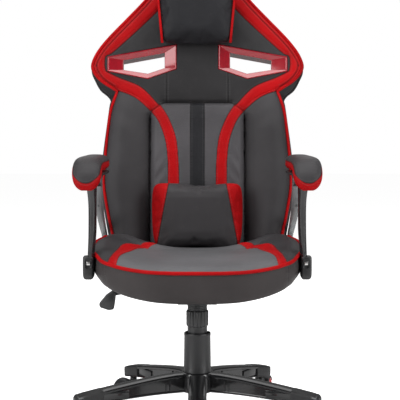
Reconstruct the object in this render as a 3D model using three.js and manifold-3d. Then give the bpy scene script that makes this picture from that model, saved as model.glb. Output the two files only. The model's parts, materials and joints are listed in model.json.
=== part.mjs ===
import * as THREE from 'three';
import { mergeVertices } from 'three/addons/utils/BufferGeometryUtils.js';
import Module from 'manifold-3d';

// A five-star swivel chair with a bucket-style back, fixed loop armrests, two loose
// pillows, a gas lift and a spring tilt. Millimetres, +Z up, the sitter faces -Y.
// The origin is on the floor, on the axis of the gas column.

const wasm = await Module();
wasm.setup();

// Facets round a large and a small turned piece
const largeFacets = 24;
const smallFacets = 16;

// Fits
const fitGap = 0.3;
const slideGap = 0.6;
const swingGap = 2;

// Casters
const wheelDiameter = 50;
const wheelWidth = 17;
const wheelBore = 6.6;
const casterWeb = 7;
const hoodWall = 3;
const axleBehindRim = 3;
const stemDiameter = 11;
const stemDepth = 25;
const hoodToArm = 2.5;

// Star base
const casterCircleRadius = 318;
const casterNames = ['front', 'right', 'rear_right', 'rear_left', 'left'];
const casterTurns = [-90, 15, 75, 215, 165];
const armTipHeight = 31;
const armRise = 21;
const armTipOverhang = 17;
const armWidthAtHub = 42;
const armWidthAtTip = 50;
const armWall = 4.5;
const hubHeight = 53;
const hubWall = 21;

// Gas column and its telescopic cover
const columnDiameter = 50;
const columnLength = 198;
const columnWall = 1.5;
const gasCylinderDiameter = 28;
const gasCylinderWall = 2;
const pistonRodDiameter = 10;
const liftStroke = 100;
const coverWall = 1.8;
const coverStep = 4.3;
const coverLowerLength = 105;

// Tilt mechanism
const mechanismAboveColumn = 70;
const mechanismWidth = 100;
const mechanismRear = 62;
const plateThickness = 3;
const mechanismDepth = 42;
const pivotSetback = 38;
const pivotHeight = 24;
const pivotPinDiameter = 10;
const tensionSetback = 90;
const tensionBoltDiameter = 10;
const knobDiameter = 57.5;
const knobHeight = 44;
const knobCavityDepth = 25;
const springCupDiameter = 50;
const springWire = 4;
const springDiameter = 34;
const springTurns = 5;
const leverDiameter = 10;
const leverHeight = 20;
const leverReach = 222;
const leverDrop = 10;
const valvePinDiameter = 7;

// Seat
const seatWidth = 540;
const seatDepth = 425;
const seatFront = 285;
const seatPlateWidth = 200;
const seatPlateDepth = 200;
const boardShare = 0.88;
const railShare = 0.76;
const boardThickness = 12;
const seatRimFront = 47.4;
const seatRimSide = 93.4;
const seatCrownHeight = 63;
const skirtDrop = 31;
const railThickness = 12;
const railHeight = 50;

// Backrest, in its own leaning frame: x across, d to the rear, v up the back
const backWidth = 606;
const backHeight = 825;
const backBelowSeat = 40;
const backLeanDegrees = 9.65;
const backHingeSetback = 170;
const backHingeAboveBoard = 62.7;
const foamThickness = 45;
const bolsterRise = 25;
const frameThickness = 12;
const rearPadThickness = 12.4;
const rearPadTopThickness = 7.4;
const trimWall = 5;
const trimProud = 4;
const funnelDepth = 30;
const bracketWidth = 160;
const bracketThickness = 5;
const bracketRise = 120;

// Pillows
const headPillowWidth = 236;
const headPillowHeight = 150;
const headPillowDepth = 66;
const lumbarWidth = 252;
const lumbarHeight = 172;
const lumbarDepth = 74;

// Armrests
const armPadWidth = 74;
const armPadHeight = 42;
const armPadLength = 300;
const armPadHeightAboveBoard = 325;
const armPlateWidth = 58;
const armPlateThickness = 8;
const armFootWidth = 28;
const armFootLength = 46;
const armFootHeight = 58;
const armFootSetback = 142;
const armFootHeightAboveBoard = 13;
const armSleeveDiameter = 18;

// Heights that follow from the sizes above
const wheelRadius = wheelDiameter / 2;
const casterTrail = wheelRadius + axleBehindRim;
const stemSocketBottom = 1.4 * wheelRadius;
const hoodRadius = wheelRadius + 2 + hoodWall;
const armTipBottom = wheelRadius + hoodRadius + hoodToArm;
const hubBottom = armTipBottom + armRise;
const hubTop = hubBottom + hubHeight;
const columnRadius = columnDiameter / 2;
const columnBottom = hubBottom - 16;
const columnTop = columnBottom + columnLength;
const mechanismFloor = columnTop + mechanismAboveColumn;
const seatPlateBottom = mechanismFloor + mechanismDepth;
const boardBottom = seatPlateBottom + plateThickness + fitGap;
const boardTop = boardBottom + boardThickness;
const pivotZ = mechanismFloor + pivotHeight;
const leverZ = mechanismFloor + leverHeight;

// Radii of the column parts, from the tube outwards
const coverUpperInner = columnRadius + slideGap;
const coverUpperOuter = coverUpperInner + coverWall / 2;
const coverMiddleInner = coverUpperOuter + coverStep;
const coverMiddleOuter = coverMiddleInner + coverWall;
const coverLowerInner = coverMiddleOuter + slideGap;
const coverLowerOuter = coverLowerInner + coverWall + 0.5;
const socketRadius = coverUpperInner - 3.6;
const gasRadius = gasCylinderDiameter / 2;
const rodRadius = pistonRodDiameter / 2;

const lean = THREE.MathUtils.degToRad(backLeanDegrees);
const backOriginZ = boardTop + backHingeAboveBoard;
const seatHalf = seatWidth / 2;
const frameFront = foamThickness + fitGap;
const frameRear = frameFront + frameThickness;
const rearPadFront = frameRear + fitGap;

const palette = {
  blackPlastic: { color: 0x141416, roughness: 0.45, metalness: 0 },
  glossPlastic: { color: 0x101012, roughness: 0.15, metalness: 0 },
  redPlastic: { color: 0xa3101c, roughness: 0.2, metalness: 0.3 },
  blackSteel: { color: 0x18181a, roughness: 0.4, metalness: 0.6 },
  chrome: { color: 0xc8c8cc, roughness: 0.12, metalness: 1 },
  plywood: { color: 0xa98a5e, roughness: 0.8, metalness: 0 },
  darkLeather: { color: 0x3a393c, roughness: 0.5, metalness: 0 },
  redLeather: { color: 0xc20017, roughness: 0.6, metalness: 0 },
};

function merged(geometry) {
  const bare = geometry.clone();
  bare.deleteAttribute('normal');
  bare.deleteAttribute('uv');
  return mergeVertices(bare, 1e-4);
}

function signedVolume(geometry) {
  const position = geometry.attributes.position;
  const index = geometry.index.array;
  const a = new THREE.Vector3();
  const b = new THREE.Vector3();
  const c = new THREE.Vector3();
  let total = 0;
  for (let i = 0; i < index.length; i += 3) {
    a.fromBufferAttribute(position, index[i]);
    b.fromBufferAttribute(position, index[i + 1]);
    c.fromBufferAttribute(position, index[i + 2]);
    total += a.dot(b.cross(c)) / 6;
  }
  return total;
}

// Merge a closed geometry's vertices and turn its faces outwards.
function outward(geometry) {
  const closed = merged(geometry);
  if (signedVolume(closed) < 0) {
    const index = closed.index.array;
    for (let i = 0; i < index.length; i += 3) {
      [index[i + 1], index[i + 2]] = [index[i + 2], index[i + 1]];
    }
  }
  return closed;
}

function toSolid(geometry) {
  const closed = outward(geometry);
  return new wasm.Manifold(new wasm.Mesh({
    numProp: 3,
    vertProperties: new Float32Array(closed.attributes.position.array),
    triVerts: new Uint32Array(closed.index.array),
  }));
}

function toGeometry(solid) {
  const mesh = solid.getMesh();
  const geometry = new THREE.BufferGeometry();
  geometry.setAttribute('position', new THREE.BufferAttribute(mesh.vertProperties, 3));
  geometry.setIndex(new THREE.BufferAttribute(mesh.triVerts, 1));
  return geometry;
}

function joined(...geometries) {
  return toGeometry(geometries.map(toSolid).reduce((whole, next) => whole.add(next)));
}

function cut(geometry, ...tools) {
  return toGeometry(tools.map(toSolid).reduce((rest, tool) => rest.subtract(tool), toSolid(geometry)));
}

// A profile of [radius, height] points turned about Z. A profile off the axis is closed.
function turned(profile, segments) {
  const points = profile.map(([radius, height]) => new THREE.Vector2(radius, height));
  const onAxis = profile[0][0] === 0 && profile[profile.length - 1][0] === 0;
  if (!onAxis) {
    points.push(points[0].clone());
  }
  return new THREE.LatheGeometry(points, segments).rotateX(Math.PI / 2);
}

function rod(radius, bottom, top, segments = smallFacets) {
  return turned([[0, bottom], [radius, bottom], [radius, top], [0, top]], segments);
}

function rodAlongX(radius, x0, x1, y, z, segments = smallFacets) {
  return rod(radius, x0, x1, segments).rotateY(Math.PI / 2).translate(0, y, z);
}

function tubeWall(inner, outer, bottom, top, segments = largeFacets) {
  return turned([[inner, bottom], [outer, bottom], [outer, top], [inner, top]], segments);
}

function block(x0, x1, y0, y1, z0, z1) {
  const box = new THREE.BoxGeometry(x1 - x0, y1 - y0, z1 - z0);
  return box.translate((x0 + x1) / 2, (y0 + y1) / 2, (z0 + z1) / 2);
}

function outlineShape(points) {
  return new THREE.Shape(points.map(([x, y]) => new THREE.Vector2(x, y)));
}

// An outline of [x, z] points between two depths along Y.
function slabAlongY(points, y0, y1) {
  const slab = new THREE.ExtrudeGeometry(outlineShape(points), { depth: y1 - y0, bevelEnabled: false });
  return slab.rotateX(Math.PI / 2).translate(0, y1, 0);
}

// An outline of [y, z] points between two places along X.
function slabAlongX(points, x0, x1) {
  const slab = new THREE.ExtrudeGeometry(outlineShape(points), { depth: x1 - x0, bevelEnabled: false });
  return slab.rotateX(Math.PI / 2).rotateZ(Math.PI / 2).translate(x0, 0, 0);
}

// Rings of Vector3 points, each with the same count, joined in order and closed by fans.
function loft(rings) {
  const count = rings[0].length;
  const places = [];
  const index = [];
  rings.forEach((ring) => ring.forEach((point) => places.push(point.x, point.y, point.z)));
  for (let i = 0; i + 1 < rings.length; i += 1) {
    for (let j = 0; j < count; j += 1) {
      const a = i * count + j;
      const b = i * count + ((j + 1) % count);
      index.push(a, b, b + count, a, b + count, a + count);
    }
  }
  [0, rings.length - 1].forEach((end) => {
    const middle = places.length / 3;
    const centre = new THREE.Vector3();
    rings[end].forEach((point) => centre.addScaledVector(point, 1 / count));
    places.push(centre.x, centre.y, centre.z);
    for (let j = 0; j < count; j += 1) {
      const a = end * count + j;
      const b = end * count + ((j + 1) % count);
      index.push(...(end === 0 ? [middle, b, a] : [middle, a, b]));
    }
  });
  const geometry = new THREE.BufferGeometry();
  geometry.setAttribute('position', new THREE.Float32BufferAttribute(places, 3));
  geometry.setIndex(index);
  return outward(geometry);
}

// Points round a rectangle with soft corners: [-1, 1] shares of its half sizes.
function softRectangle(count, squareness) {
  const points = [];
  for (let i = 0; i < count; i += 1) {
    const angle = (2 * Math.PI * (i + 0.5)) / count;
    const x = Math.sign(Math.cos(angle)) * Math.abs(Math.cos(angle)) ** squareness;
    const y = Math.sign(Math.sin(angle)) * Math.abs(Math.sin(angle)) ** squareness;
    points.push([x, y]);
  }
  return points;
}

// Move each side of a closed outline outwards by a distance.
function offsetOutline(points, distance) {
  const turn = THREE.ShapeUtils.isClockWise(points.map(([x, y]) => new THREE.Vector2(x, y))) ? -1 : 1;
  return points.map((point, i) => {
    const before = points[(i + points.length - 1) % points.length];
    const after = points[(i + 1) % points.length];
    const sideIn = new THREE.Vector2(point[0] - before[0], point[1] - before[1]).normalize();
    const sideOut = new THREE.Vector2(after[0] - point[0], after[1] - point[1]).normalize();
    const normalIn = new THREE.Vector2(sideIn.y, -sideIn.x);
    const normalOut = new THREE.Vector2(sideOut.y, -sideOut.x);
    const corner = normalIn.clone().add(normalOut);
    const reach = (turn * distance * 2) / corner.lengthSq();
    return [point[0] + corner.x * reach, point[1] + corner.y * reach];
  });
}

function smooth(value, low, high) {
  return THREE.MathUtils.smoothstep(value, low, high);
}

function piece(name, geometry, finish) {
  const mesh = new THREE.Mesh(outward(geometry), new THREE.MeshStandardMaterial(palette[finish]));
  mesh.name = name;
  return mesh;
}

// Star base ---------------------------------------------------------------

function armSection(radius, grow) {
  const reach = casterCircleRadius + armTipOverhang;
  const start = columnRadius + hubWall;
  const along = THREE.MathUtils.clamp((radius - 1.2 * start) / (reach - 1.2 * start), 0, 1);
  const topHub = hubTop - 1;
  const topTip = armTipBottom + armTipHeight;
  const bottomHub = hubBottom + 2;
  const top = topHub + (topTip - topHub) * along ** 1.3 + grow;
  const bottom = bottomHub + (armTipBottom - bottomHub) * along ** 2;
  const half = armWidthAtHub / 2 + ((armWidthAtTip - armWidthAtHub) / 2) * along + grow;
  const round = 5;
  return [
    [-half * 0.9, bottom], [half * 0.9, bottom], [half, (top + bottom) / 2],
    [half, top - round], [half - round, top], [-half + round, top],
    [-half, top - round], [-half, (top + bottom) / 2],
  ].map(([y, z]) => new THREE.Vector3(radius, y, z));
}

function armGeometry() {
  const reach = casterCircleRadius + armTipOverhang;
  const stations = [0.1, 0.4, 0.62, 0.82, 0.95].map((share) => armSection(share * reach, 0));
  const tip = armSection(reach, 0).map((point) => new THREE.Vector3(point.x, point.y * 0.8, point.z));
  return loft([...stations, tip]);
}

// The hollow under each arm, from the hub to the caster socket.
function armPocket() {
  const inner = columnRadius + hubWall + armWall;
  const outer = casterCircleRadius - stemDiameter / 2 - 4 * armWall;
  const rings = [0, 0.5, 1].map((share) => {
    const section = armSection(inner + (outer - inner) * share, -armWall);
    return section.map((point, i) => (i < 2 ? point.clone().setZ(armTipBottom - 20) : point));
  });
  return loft(rings);
}

function starBase() {
  const hubRadius = columnRadius + hubWall;
  const hub = turned([
    [0, hubBottom], [hubRadius - 4, hubBottom], [hubRadius, hubBottom + 6],
    [hubRadius, hubTop - 3], [hubRadius - 3, hubTop], [0, hubTop],
  ], largeFacets);
  const arms = [];
  const cuts = [rod(columnRadius + fitGap, hubBottom - 1, hubTop + 1, largeFacets)];
  for (let i = 0; i < casterNames.length; i += 1) {
    const angle = -Math.PI / 2 + (i * 2 * Math.PI) / casterNames.length;
    const socket = rod(stemDiameter / 2 + fitGap, armTipBottom - 1, armTipBottom + stemDepth, 12);
    arms.push(armGeometry().rotateZ(angle));
    cuts.push(armPocket().rotateZ(angle));
    cuts.push(socket.translate(casterCircleRadius, 0, 0).rotateZ(angle));
  }
  return cut(joined(hub, ...arms), ...cuts);
}

// Casters: built with the swivel axis at x = 0 and the axle at x = casterTrail ------

function wheelGeometry(side) {
  const near = casterWeb / 2 + slideGap;
  const far = near + wheelWidth;
  const radius = wheelRadius;
  const bore = wheelBore / 2;
  const profile = [
    [bore, near], [radius, near], [radius, far - 4], [radius - 4, far], [radius - 9, far], [bore, far - 3],
  ];
  // The first facet edge is turned to the floor, so that the wheel stands on it.
  const wheel = turned(profile, 20).rotateX(-Math.PI / 2).rotateY(Math.PI / 2);
  return wheel.scale(1, side, 1).translate(casterTrail, 0, wheelRadius);
}

function hoodOutline(inner, outer, fromDegrees, toDegrees, steps) {
  const points = [];
  for (let i = 0; i <= steps; i += 1) {
    const angle = THREE.MathUtils.degToRad(fromDegrees + ((toDegrees - fromDegrees) * i) / steps);
    points.push([casterTrail + outer * Math.cos(angle), wheelRadius + outer * Math.sin(angle)]);
  }
  for (let i = steps; i >= 0; i -= 1) {
    const angle = THREE.MathUtils.degToRad(fromDegrees + ((toDegrees - fromDegrees) * i) / steps);
    points.push([casterTrail + inner * Math.cos(angle), wheelRadius + inner * Math.sin(angle)]);
  }
  return points;
}

function casterHousing() {
  const halfWidth = casterWeb / 2 + slideGap + wheelWidth + 1;
  const hood = slabAlongY(hoodOutline(hoodRadius - hoodWall, hoodRadius, 25, 205, 7), -halfWidth, halfWidth);
  const webRadius = hoodRadius - hoodWall + 1;
  const web = slabAlongY(hoodOutline(1, webRadius, 10, 215, 6), -casterWeb / 2, casterWeb / 2);
  const bossBottom = wheelRadius + 4;
  const boss = rod(stemDiameter / 2 + 4.5, bossBottom, armTipBottom - 0.5, 12);
  const bossRoom = block(
    casterTrail - hoodRadius - 20, casterTrail - 2, -halfWidth - 20, halfWidth + 20, 0, bossBottom + 60,
  );
  const wheelRoomWidth = wheelWidth + slideGap;
  const wheelRooms = [-1, 1].map((side) => {
    const room = rod(wheelRadius + 1.4, casterWeb / 2, casterWeb / 2 + wheelRoomWidth + 8, 16);
    return room.rotateX(-Math.PI / 2).scale(1, side, 1).translate(casterTrail, 0, wheelRadius);
  });
  const trimmedBoss = toGeometry(toSolid(boss).intersect(toSolid(bossRoom)));
  const axle = rod(wheelBore / 2 - fitGap, -halfWidth + 4, halfWidth - 4, 12);
  const axleAcross = axle.rotateX(-Math.PI / 2).translate(casterTrail, 0, wheelRadius);
  const socket = rod(stemDiameter / 2 + fitGap, stemSocketBottom, armTipBottom + 1, 12);
  const shell = cut(joined(hood, web, trimmedBoss), ...wheelRooms, socket);
  return joined(shell, axleAcross);
}

function casterStem() {
  const bottom = stemSocketBottom + fitGap;
  const top = armTipBottom + stemDepth - 1;
  const radius = stemDiameter / 2;
  return turned([
    [0, bottom], [radius, bottom], [radius, top - 2], [radius - 2, top], [0, top],
  ], 12);
}

function casters() {
  const group = new THREE.Group();
  casterNames.forEach((name, i) => {
    const angle = -Math.PI / 2 + (i * 2 * Math.PI) / casterNames.length;
    const caster = new THREE.Group();
    caster.position.set(casterCircleRadius * Math.cos(angle), casterCircleRadius * Math.sin(angle), 0);
    caster.rotation.z = THREE.MathUtils.degToRad(casterTurns[i]);
    caster.add(piece(`caster_${name}_housing`, casterHousing(), 'blackPlastic'));
    caster.add(piece(`caster_${name}_stem`, casterStem(), 'chrome'));
    caster.add(piece(`caster_${name}_wheel_left`, wheelGeometry(-1), 'redPlastic'));
    caster.add(piece(`caster_${name}_wheel_right`, wheelGeometry(1), 'redPlastic'));
    group.add(caster);
  });
  return group;
}

// Gas column ----------------------------------------------------------------

const tubeFloor = columnBottom + 8;
const bearingBottom = tubeFloor + 4 + fitGap;
const bearingHeight = 6;
const shoulderBottom = bearingBottom + bearingHeight + fitGap;
const shoulderHeight = 6;
const gasBottom = shoulderBottom + shoulderHeight + 6;
const gasTop = mechanismFloor + 8;

function columnTube() {
  const bore = columnRadius - columnWall;
  const collarBottom = columnTop - 20;
  return turned([
    [rodRadius + slideGap, tubeFloor], [columnRadius - columnWall, tubeFloor],
    [columnRadius - columnWall, columnBottom], [columnRadius, columnBottom],
    [columnRadius, columnTop], [gasRadius + fitGap, columnTop],
    [gasRadius + fitGap, collarBottom], [bore, collarBottom],
    [bore, tubeFloor + 4], [rodRadius + slideGap, tubeFloor + 4],
  ], largeFacets);
}

function coverLower() {
  const bottom = hubTop + fitGap;
  const top = bottom + coverLowerLength;
  return turned([
    [columnRadius + fitGap, bottom], [coverLowerOuter, bottom], [coverLowerOuter, top - 5],
    [coverLowerOuter + 0.8, top - 4], [coverLowerOuter + 0.8, top], [coverLowerInner, top],
    [coverLowerInner, bottom + 3], [columnRadius + fitGap, bottom + 3],
  ], largeFacets);
}

function coverMiddle() {
  const bottom = hubTop + fitGap + 5;
  return tubeWall(coverMiddleInner, coverMiddleOuter, bottom, bottom + coverLowerLength - 8);
}

function coverUpper() {
  const bottom = hubTop + 10;
  const top = mechanismFloor - fitGap;
  return turned([
    [coverUpperInner, bottom], [coverUpperOuter, bottom], [coverUpperOuter, top],
    [socketRadius + fitGap, top], [socketRadius + fitGap, top - 3], [coverUpperInner, top - 3],
  ], largeFacets);
}

function pistonRod() {
  const bottom = columnBottom + 1;
  const clipGroove = tubeFloor - 3;
  const pistonBottom = gasBottom + liftStroke + 8;
  const pistonRadius = gasRadius - gasCylinderWall - slideGap;
  return turned([
    [0, bottom], [rodRadius, bottom], [rodRadius, clipGroove - 2], [rodRadius - 1.2, clipGroove - 2],
    [rodRadius - 1.2, clipGroove], [rodRadius, clipGroove], [rodRadius, shoulderBottom],
    [rodRadius + 3, shoulderBottom], [rodRadius + 3, shoulderBottom + shoulderHeight],
    [rodRadius, shoulderBottom + shoulderHeight], [rodRadius, pistonBottom],
    [pistonRadius, pistonBottom], [pistonRadius, pistonBottom + 12], [0, pistonBottom + 12],
  ], smallFacets);
}

function retainingClip() {
  const groove = tubeFloor - 3;
  const inner = rodRadius - 1.2 + fitGap;
  const ring = tubeWall(inner, rodRadius + 5, groove - 2 + fitGap, groove - fitGap, smallFacets);
  return cut(ring, block(0, rodRadius + 6, -inner * 0.9, inner * 0.9, groove - 5, groove + 5));
}

function gasCylinder() {
  const inner = gasRadius - gasCylinderWall;
  const pinHole = valvePinDiameter / 2 + slideGap;
  return turned([
    [0, gasTop - 13], [pinHole, gasTop - 13], [pinHole, gasTop], [gasRadius - 1, gasTop],
    [gasRadius, gasTop - 2], [gasRadius, gasBottom], [rodRadius + slideGap, gasBottom],
    [rodRadius + slideGap, gasBottom + 6], [inner, gasBottom + 6], [inner, gasTop - 20], [0, gasTop - 20],
  ], largeFacets);
}

function gasColumn() {
  const group = new THREE.Group();
  const bearingTop = bearingBottom + bearingHeight;
  const bearing = tubeWall(rodRadius + slideGap, rodRadius + 9, bearingBottom, bearingTop, smallFacets);
  const valveTop = leverZ - leverDiameter / 2 - fitGap;
  group.add(piece('column_tube', columnTube(), 'blackSteel'));
  group.add(piece('column_cover_lower', coverLower(), 'glossPlastic'));
  group.add(piece('column_cover_middle', coverMiddle(), 'glossPlastic'));
  group.add(piece('column_cover_upper', coverUpper(), 'blackPlastic'));
  group.add(piece('thrust_bearing', bearing, 'chrome'));
  group.add(piece('retaining_clip', retainingClip(), 'blackSteel'));
  group.add(piece('piston_rod', pistonRod(), 'chrome'));
  group.add(piece('gas_cylinder', gasCylinder(), 'chrome'));
  const valvePin = rod(valvePinDiameter / 2, gasTop - 8, valveTop, smallFacets);
  group.add(piece('valve_button', valvePin, 'redPlastic'));
  return group;
}

// Tilt mechanism --------------------------------------------------------------

const mechanismHalf = mechanismWidth / 2;
const mechanismFront = tensionSetback + knobDiameter / 2;
const cheekInner = mechanismHalf + swingGap;
const leverPivotX = -(mechanismHalf - plateThickness / 2);
const bushRadius = leverDiameter / 2 + fitGap + 2.3;

function mechanismHousing() {
  const floor = mechanismFloor;
  const wall = [
    [-mechanismFront, floor], [-mechanismFront, floor + 20], [-pivotSetback - 26, floor + 20],
    [-pivotSetback - 14, floor + 36], [-pivotSetback + 14, floor + 36], [10, floor + 32],
    [mechanismRear, floor + 20], [mechanismRear, floor],
  ];
  const left = slabAlongX(wall, -mechanismHalf, -mechanismHalf + plateThickness);
  const right = slabAlongX(wall, mechanismHalf - plateThickness, mechanismHalf);
  const floorPlate = block(
    -mechanismHalf, mechanismHalf, -mechanismFront, mechanismRear, floor, floor + plateThickness,
  );
  const socket = rod(socketRadius, floor - 25, gasTop, largeFacets);
  return cut(
    joined(floorPlate, left, right, socket),
    rod(gasRadius + fitGap, floor - 26, gasTop + 1, largeFacets),
    rod(tensionBoltDiameter / 2 + slideGap, floor - 1, floor + 10).translate(0, -tensionSetback, 0),
    rodAlongX(pivotPinDiameter / 2 + fitGap, -mechanismHalf - 1, mechanismHalf + 1, -pivotSetback, pivotZ),
    rodAlongX(bushRadius + slideGap, -mechanismHalf - 1, -mechanismHalf + 10, 0, leverZ),
  );
}

// Top plate with two cheeks on the pivot pin and a bridge that the tension bolt pulls on.
function seatPlate() {
  const bottom = seatPlateBottom;
  const bridgeTop = pivotZ + 5;
  const cheekFront = -tensionSetback - 18;
  const cheek = [
    [cheekFront, bottom + 1], [cheekFront, bridgeTop - 6], [-pivotSetback - 14, pivotZ - 12],
    [-pivotSetback + 14, pivotZ - 12], [-pivotSetback + 18, pivotZ - 4], [-pivotSetback + 18, bottom + 1],
  ];
  const plate = block(
    -seatPlateWidth / 2, seatPlateWidth / 2, -seatPlateDepth / 2, seatPlateDepth / 2,
    bottom, bottom + plateThickness,
  );
  const left = slabAlongX(cheek, -cheekInner - plateThickness, -cheekInner);
  const right = slabAlongX(cheek, cheekInner, cheekInner + plateThickness);
  const bridge = block(
    -cheekInner - 1, cheekInner + 1, -tensionSetback - 15, -tensionSetback + 15,
    bridgeTop - plateThickness, bridgeTop,
  );
  const slotHalf = tensionBoltDiameter / 2 + slideGap;
  const slot = block(
    -slotHalf, slotHalf, -tensionSetback - slotHalf - 3, -tensionSetback + slotHalf + 3,
    bridgeTop - 10, bridgeTop + 5,
  );
  const pinHole = rodAlongX(
    pivotPinDiameter / 2 + fitGap, -cheekInner - 10, cheekInner + 10, -pivotSetback, pivotZ,
  );
  return cut(joined(plate, left, right, bridge), slot, pinHole);
}

const knobBottom = mechanismFloor - 17 - knobHeight;
const knobFloor = knobBottom + knobHeight - knobCavityDepth;
const cupTop = mechanismFloor - fitGap;

function tensionKnob() {
  const points = [];
  const flutes = 18;
  for (let i = 0; i < flutes * 2; i += 1) {
    const angle = (2 * Math.PI * i) / (flutes * 2);
    const radius = knobDiameter / 2 - 0.9 + 0.9 * Math.cos(flutes * angle);
    points.push([radius * Math.cos(angle), radius * Math.sin(angle)]);
  }
  const body = new THREE.ExtrudeGeometry(outlineShape(points), { depth: knobHeight, bevelEnabled: false });
  const knob = cut(
    body.translate(0, 0, knobBottom),
    rod(springCupDiameter / 2 + 1.2, knobFloor, knobFloor + knobHeight, largeFacets),
    rod(tensionBoltDiameter / 2 + fitGap, knobBottom + 5, knobFloor + 1),
  );
  return knob.translate(0, -tensionSetback, 0);
}

function tensionBolt() {
  const headBottom = pivotZ + 5 + 2.6;
  const radius = tensionBoltDiameter / 2;
  return turned([
    [0, knobBottom + 5 + fitGap], [radius, knobBottom + 5 + fitGap], [radius, headBottom],
    [radius * 2, headBottom], [radius * 2, headBottom + 4], [radius, headBottom + 6], [0, headBottom + 6],
  ], smallFacets).translate(0, -tensionSetback, 0);
}

function springCup() {
  const outer = springCupDiameter / 2;
  const holeRadius = tensionBoltDiameter / 2 + slideGap;
  const bottom = mechanismFloor - 27;
  return turned([
    [holeRadius, cupTop - 2], [outer - 2, cupTop - 2], [outer - 2, bottom], [outer, bottom],
    [outer, cupTop], [holeRadius, cupTop],
  ], largeFacets).translate(0, -tensionSetback, 0);
}

class HelixCurve extends THREE.Curve {
  constructor(radius, bottom, top, turns) {
    super();
    Object.assign(this, { radius, bottom, top, turns });
  }

  getPoint(share, target = new THREE.Vector3()) {
    const angle = 2 * Math.PI * this.turns * share;
    const height = this.bottom + (this.top - this.bottom) * share;
    return target.set(this.radius * Math.cos(angle), this.radius * Math.sin(angle), height);
  }
}

function tensionSpring() {
  const wireRadius = springWire / 2;
  const bottom = knobFloor + fitGap + wireRadius * 1.15;
  const top = cupTop - 2 - fitGap - wireRadius * 1.15;
  const curve = new HelixCurve(springDiameter / 2 - wireRadius, bottom, top, springTurns);
  const wire = new THREE.Shape().absarc(0, 0, wireRadius, 0, 2 * Math.PI);
  const coil = new THREE.ExtrudeGeometry(wire, {
    steps: springTurns * 9, curveSegments: 3, extrudePath: curve,
  });
  return coil.translate(0, -tensionSetback, 0);
}

function leverRod() {
  const curve = new THREE.CatmullRomCurve3([
    new THREE.Vector3(8, 0, leverZ),
    new THREE.Vector3(-60, 0, leverZ),
    new THREE.Vector3(-0.6 * leverReach, 0, leverZ),
    new THREE.Vector3(-0.86 * leverReach, 0, leverZ - leverDrop / 2),
    new THREE.Vector3(-leverReach, 0, leverZ - leverDrop),
  ], false, 'centripetal');
  const section = new THREE.Shape().absarc(0, 0, leverDiameter / 2, 0, 2 * Math.PI);
  return new THREE.ExtrudeGeometry(section, { steps: 9, curveSegments: 4, extrudePath: curve });
}

function leverPaddle() {
  const top = leverZ - leverDrop;
  const stations = [
    [-leverReach + 9, top, 8, 8.5],
    [-leverReach, top, 9.5, 11],
    [-leverReach - 9, top - 6, 17, 13],
    [-leverReach - 24, top - 16, 19, 15],
    [-leverReach - 38, top - 24, 18, 15],
    [-leverReach - 42, top - 26, 13, 12],
  ];
  const section = softRectangle(12, 0.55);
  const body = loft(stations.map(([x, z, halfHeight, halfDepth]) => section.map(
    ([across, up]) => new THREE.Vector3(x, across * halfDepth, z + up * halfHeight),
  )));
  const rodRoom = new THREE.CatmullRomCurve3([
    new THREE.Vector3(-leverReach + 30, 0, top + leverDrop * 0.32),
    new THREE.Vector3(-leverReach - 0.6, 0, top - 0.1),
  ]);
  const bore = new THREE.Shape().absarc(0, 0, leverDiameter / 2 + 3 * fitGap, 0, 2 * Math.PI);
  return cut(body, new THREE.ExtrudeGeometry(bore, { steps: 1, curveSegments: 6, extrudePath: rodRoom }));
}

function tiltMechanism() {
  const group = new THREE.Group();
  const pin = rodAlongX(
    pivotPinDiameter / 2, -cheekInner - 6, cheekInner + 6, -pivotSetback, pivotZ,
  );
  const bush = cut(
    rodAlongX(bushRadius, leverPivotX - 9, leverPivotX + 9, 0, leverZ),
    rodAlongX(leverDiameter / 2 + fitGap, leverPivotX - 10, leverPivotX + 10, 0, leverZ),
  );
  group.add(piece('mechanism_housing', mechanismHousing(), 'blackSteel'));
  group.add(piece('tilt_pivot_pin', pin, 'chrome'));
  group.add(piece('seat_plate', seatPlate(), 'blackSteel'));
  group.add(piece('tension_bolt', tensionBolt(), 'blackSteel'));
  group.add(piece('tension_spring', tensionSpring(), 'blackSteel'));
  group.add(piece('tension_knob', tensionKnob(), 'blackPlastic'));
  group.add(piece('spring_cup', springCup(), 'blackPlastic'));
  group.add(piece('lever_bush', bush, 'blackPlastic'));
  group.add(piece('lever_rod', leverRod(), 'blackSteel'));
  group.add(piece('lever_paddle', leverPaddle(), 'blackPlastic'));
  return group;
}

// Seat ------------------------------------------------------------------------

const seatRear = seatDepth - seatFront;

// Half of the plan outline, front to rear: [share of the half width, share of the depth]
const seatPlan = [
  [0.22, 0], [0.51, 0.035], [0.82, 0.15], [0.935, 0.32], [1, 0.5], [0.985, 0.72], [0.93, 0.92], [0.78, 1],
];

function seatOutline(share, count = 30) {
  const half = seatPlan.map(([x, y]) => new THREE.Vector3(x * seatHalf, y * seatDepth - seatFront, 0));
  const mirrored = half.map((point) => new THREE.Vector3(-point.x, point.y, 0)).reverse();
  const curve = new THREE.CatmullRomCurve3([...half, ...mirrored], true, 'centripetal');
  const middle = seatRear - seatDepth / 2;
  return curve.getSpacedPoints(count).slice(0, count).map((point) => new THREE.Vector3(
    point.x * share, middle + (point.y - middle) * share, 0,
  ));
}

function seatRimHeight(point) {
  const along = THREE.MathUtils.clamp((point.y + seatFront) / (0.7 * seatDepth), 0, 1) ** 0.7;
  const across = 0.3 + 0.7 * Math.min(1, Math.abs(point.x) / (0.8 * seatHalf)) ** 2;
  return boardTop + seatRimFront + (seatRimSide - seatRimFront) * along * across;
}

function skirtHeight(point) {
  const back = smooth(point.y, -seatFront, -0.14 * seatFront);
  const side = 0.75 + 0.25 * Math.min(1, Math.abs(point.x) / seatHalf) ** 2;
  return boardTop - skirtDrop + (skirtDrop + 12) * back * side;
}

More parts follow.
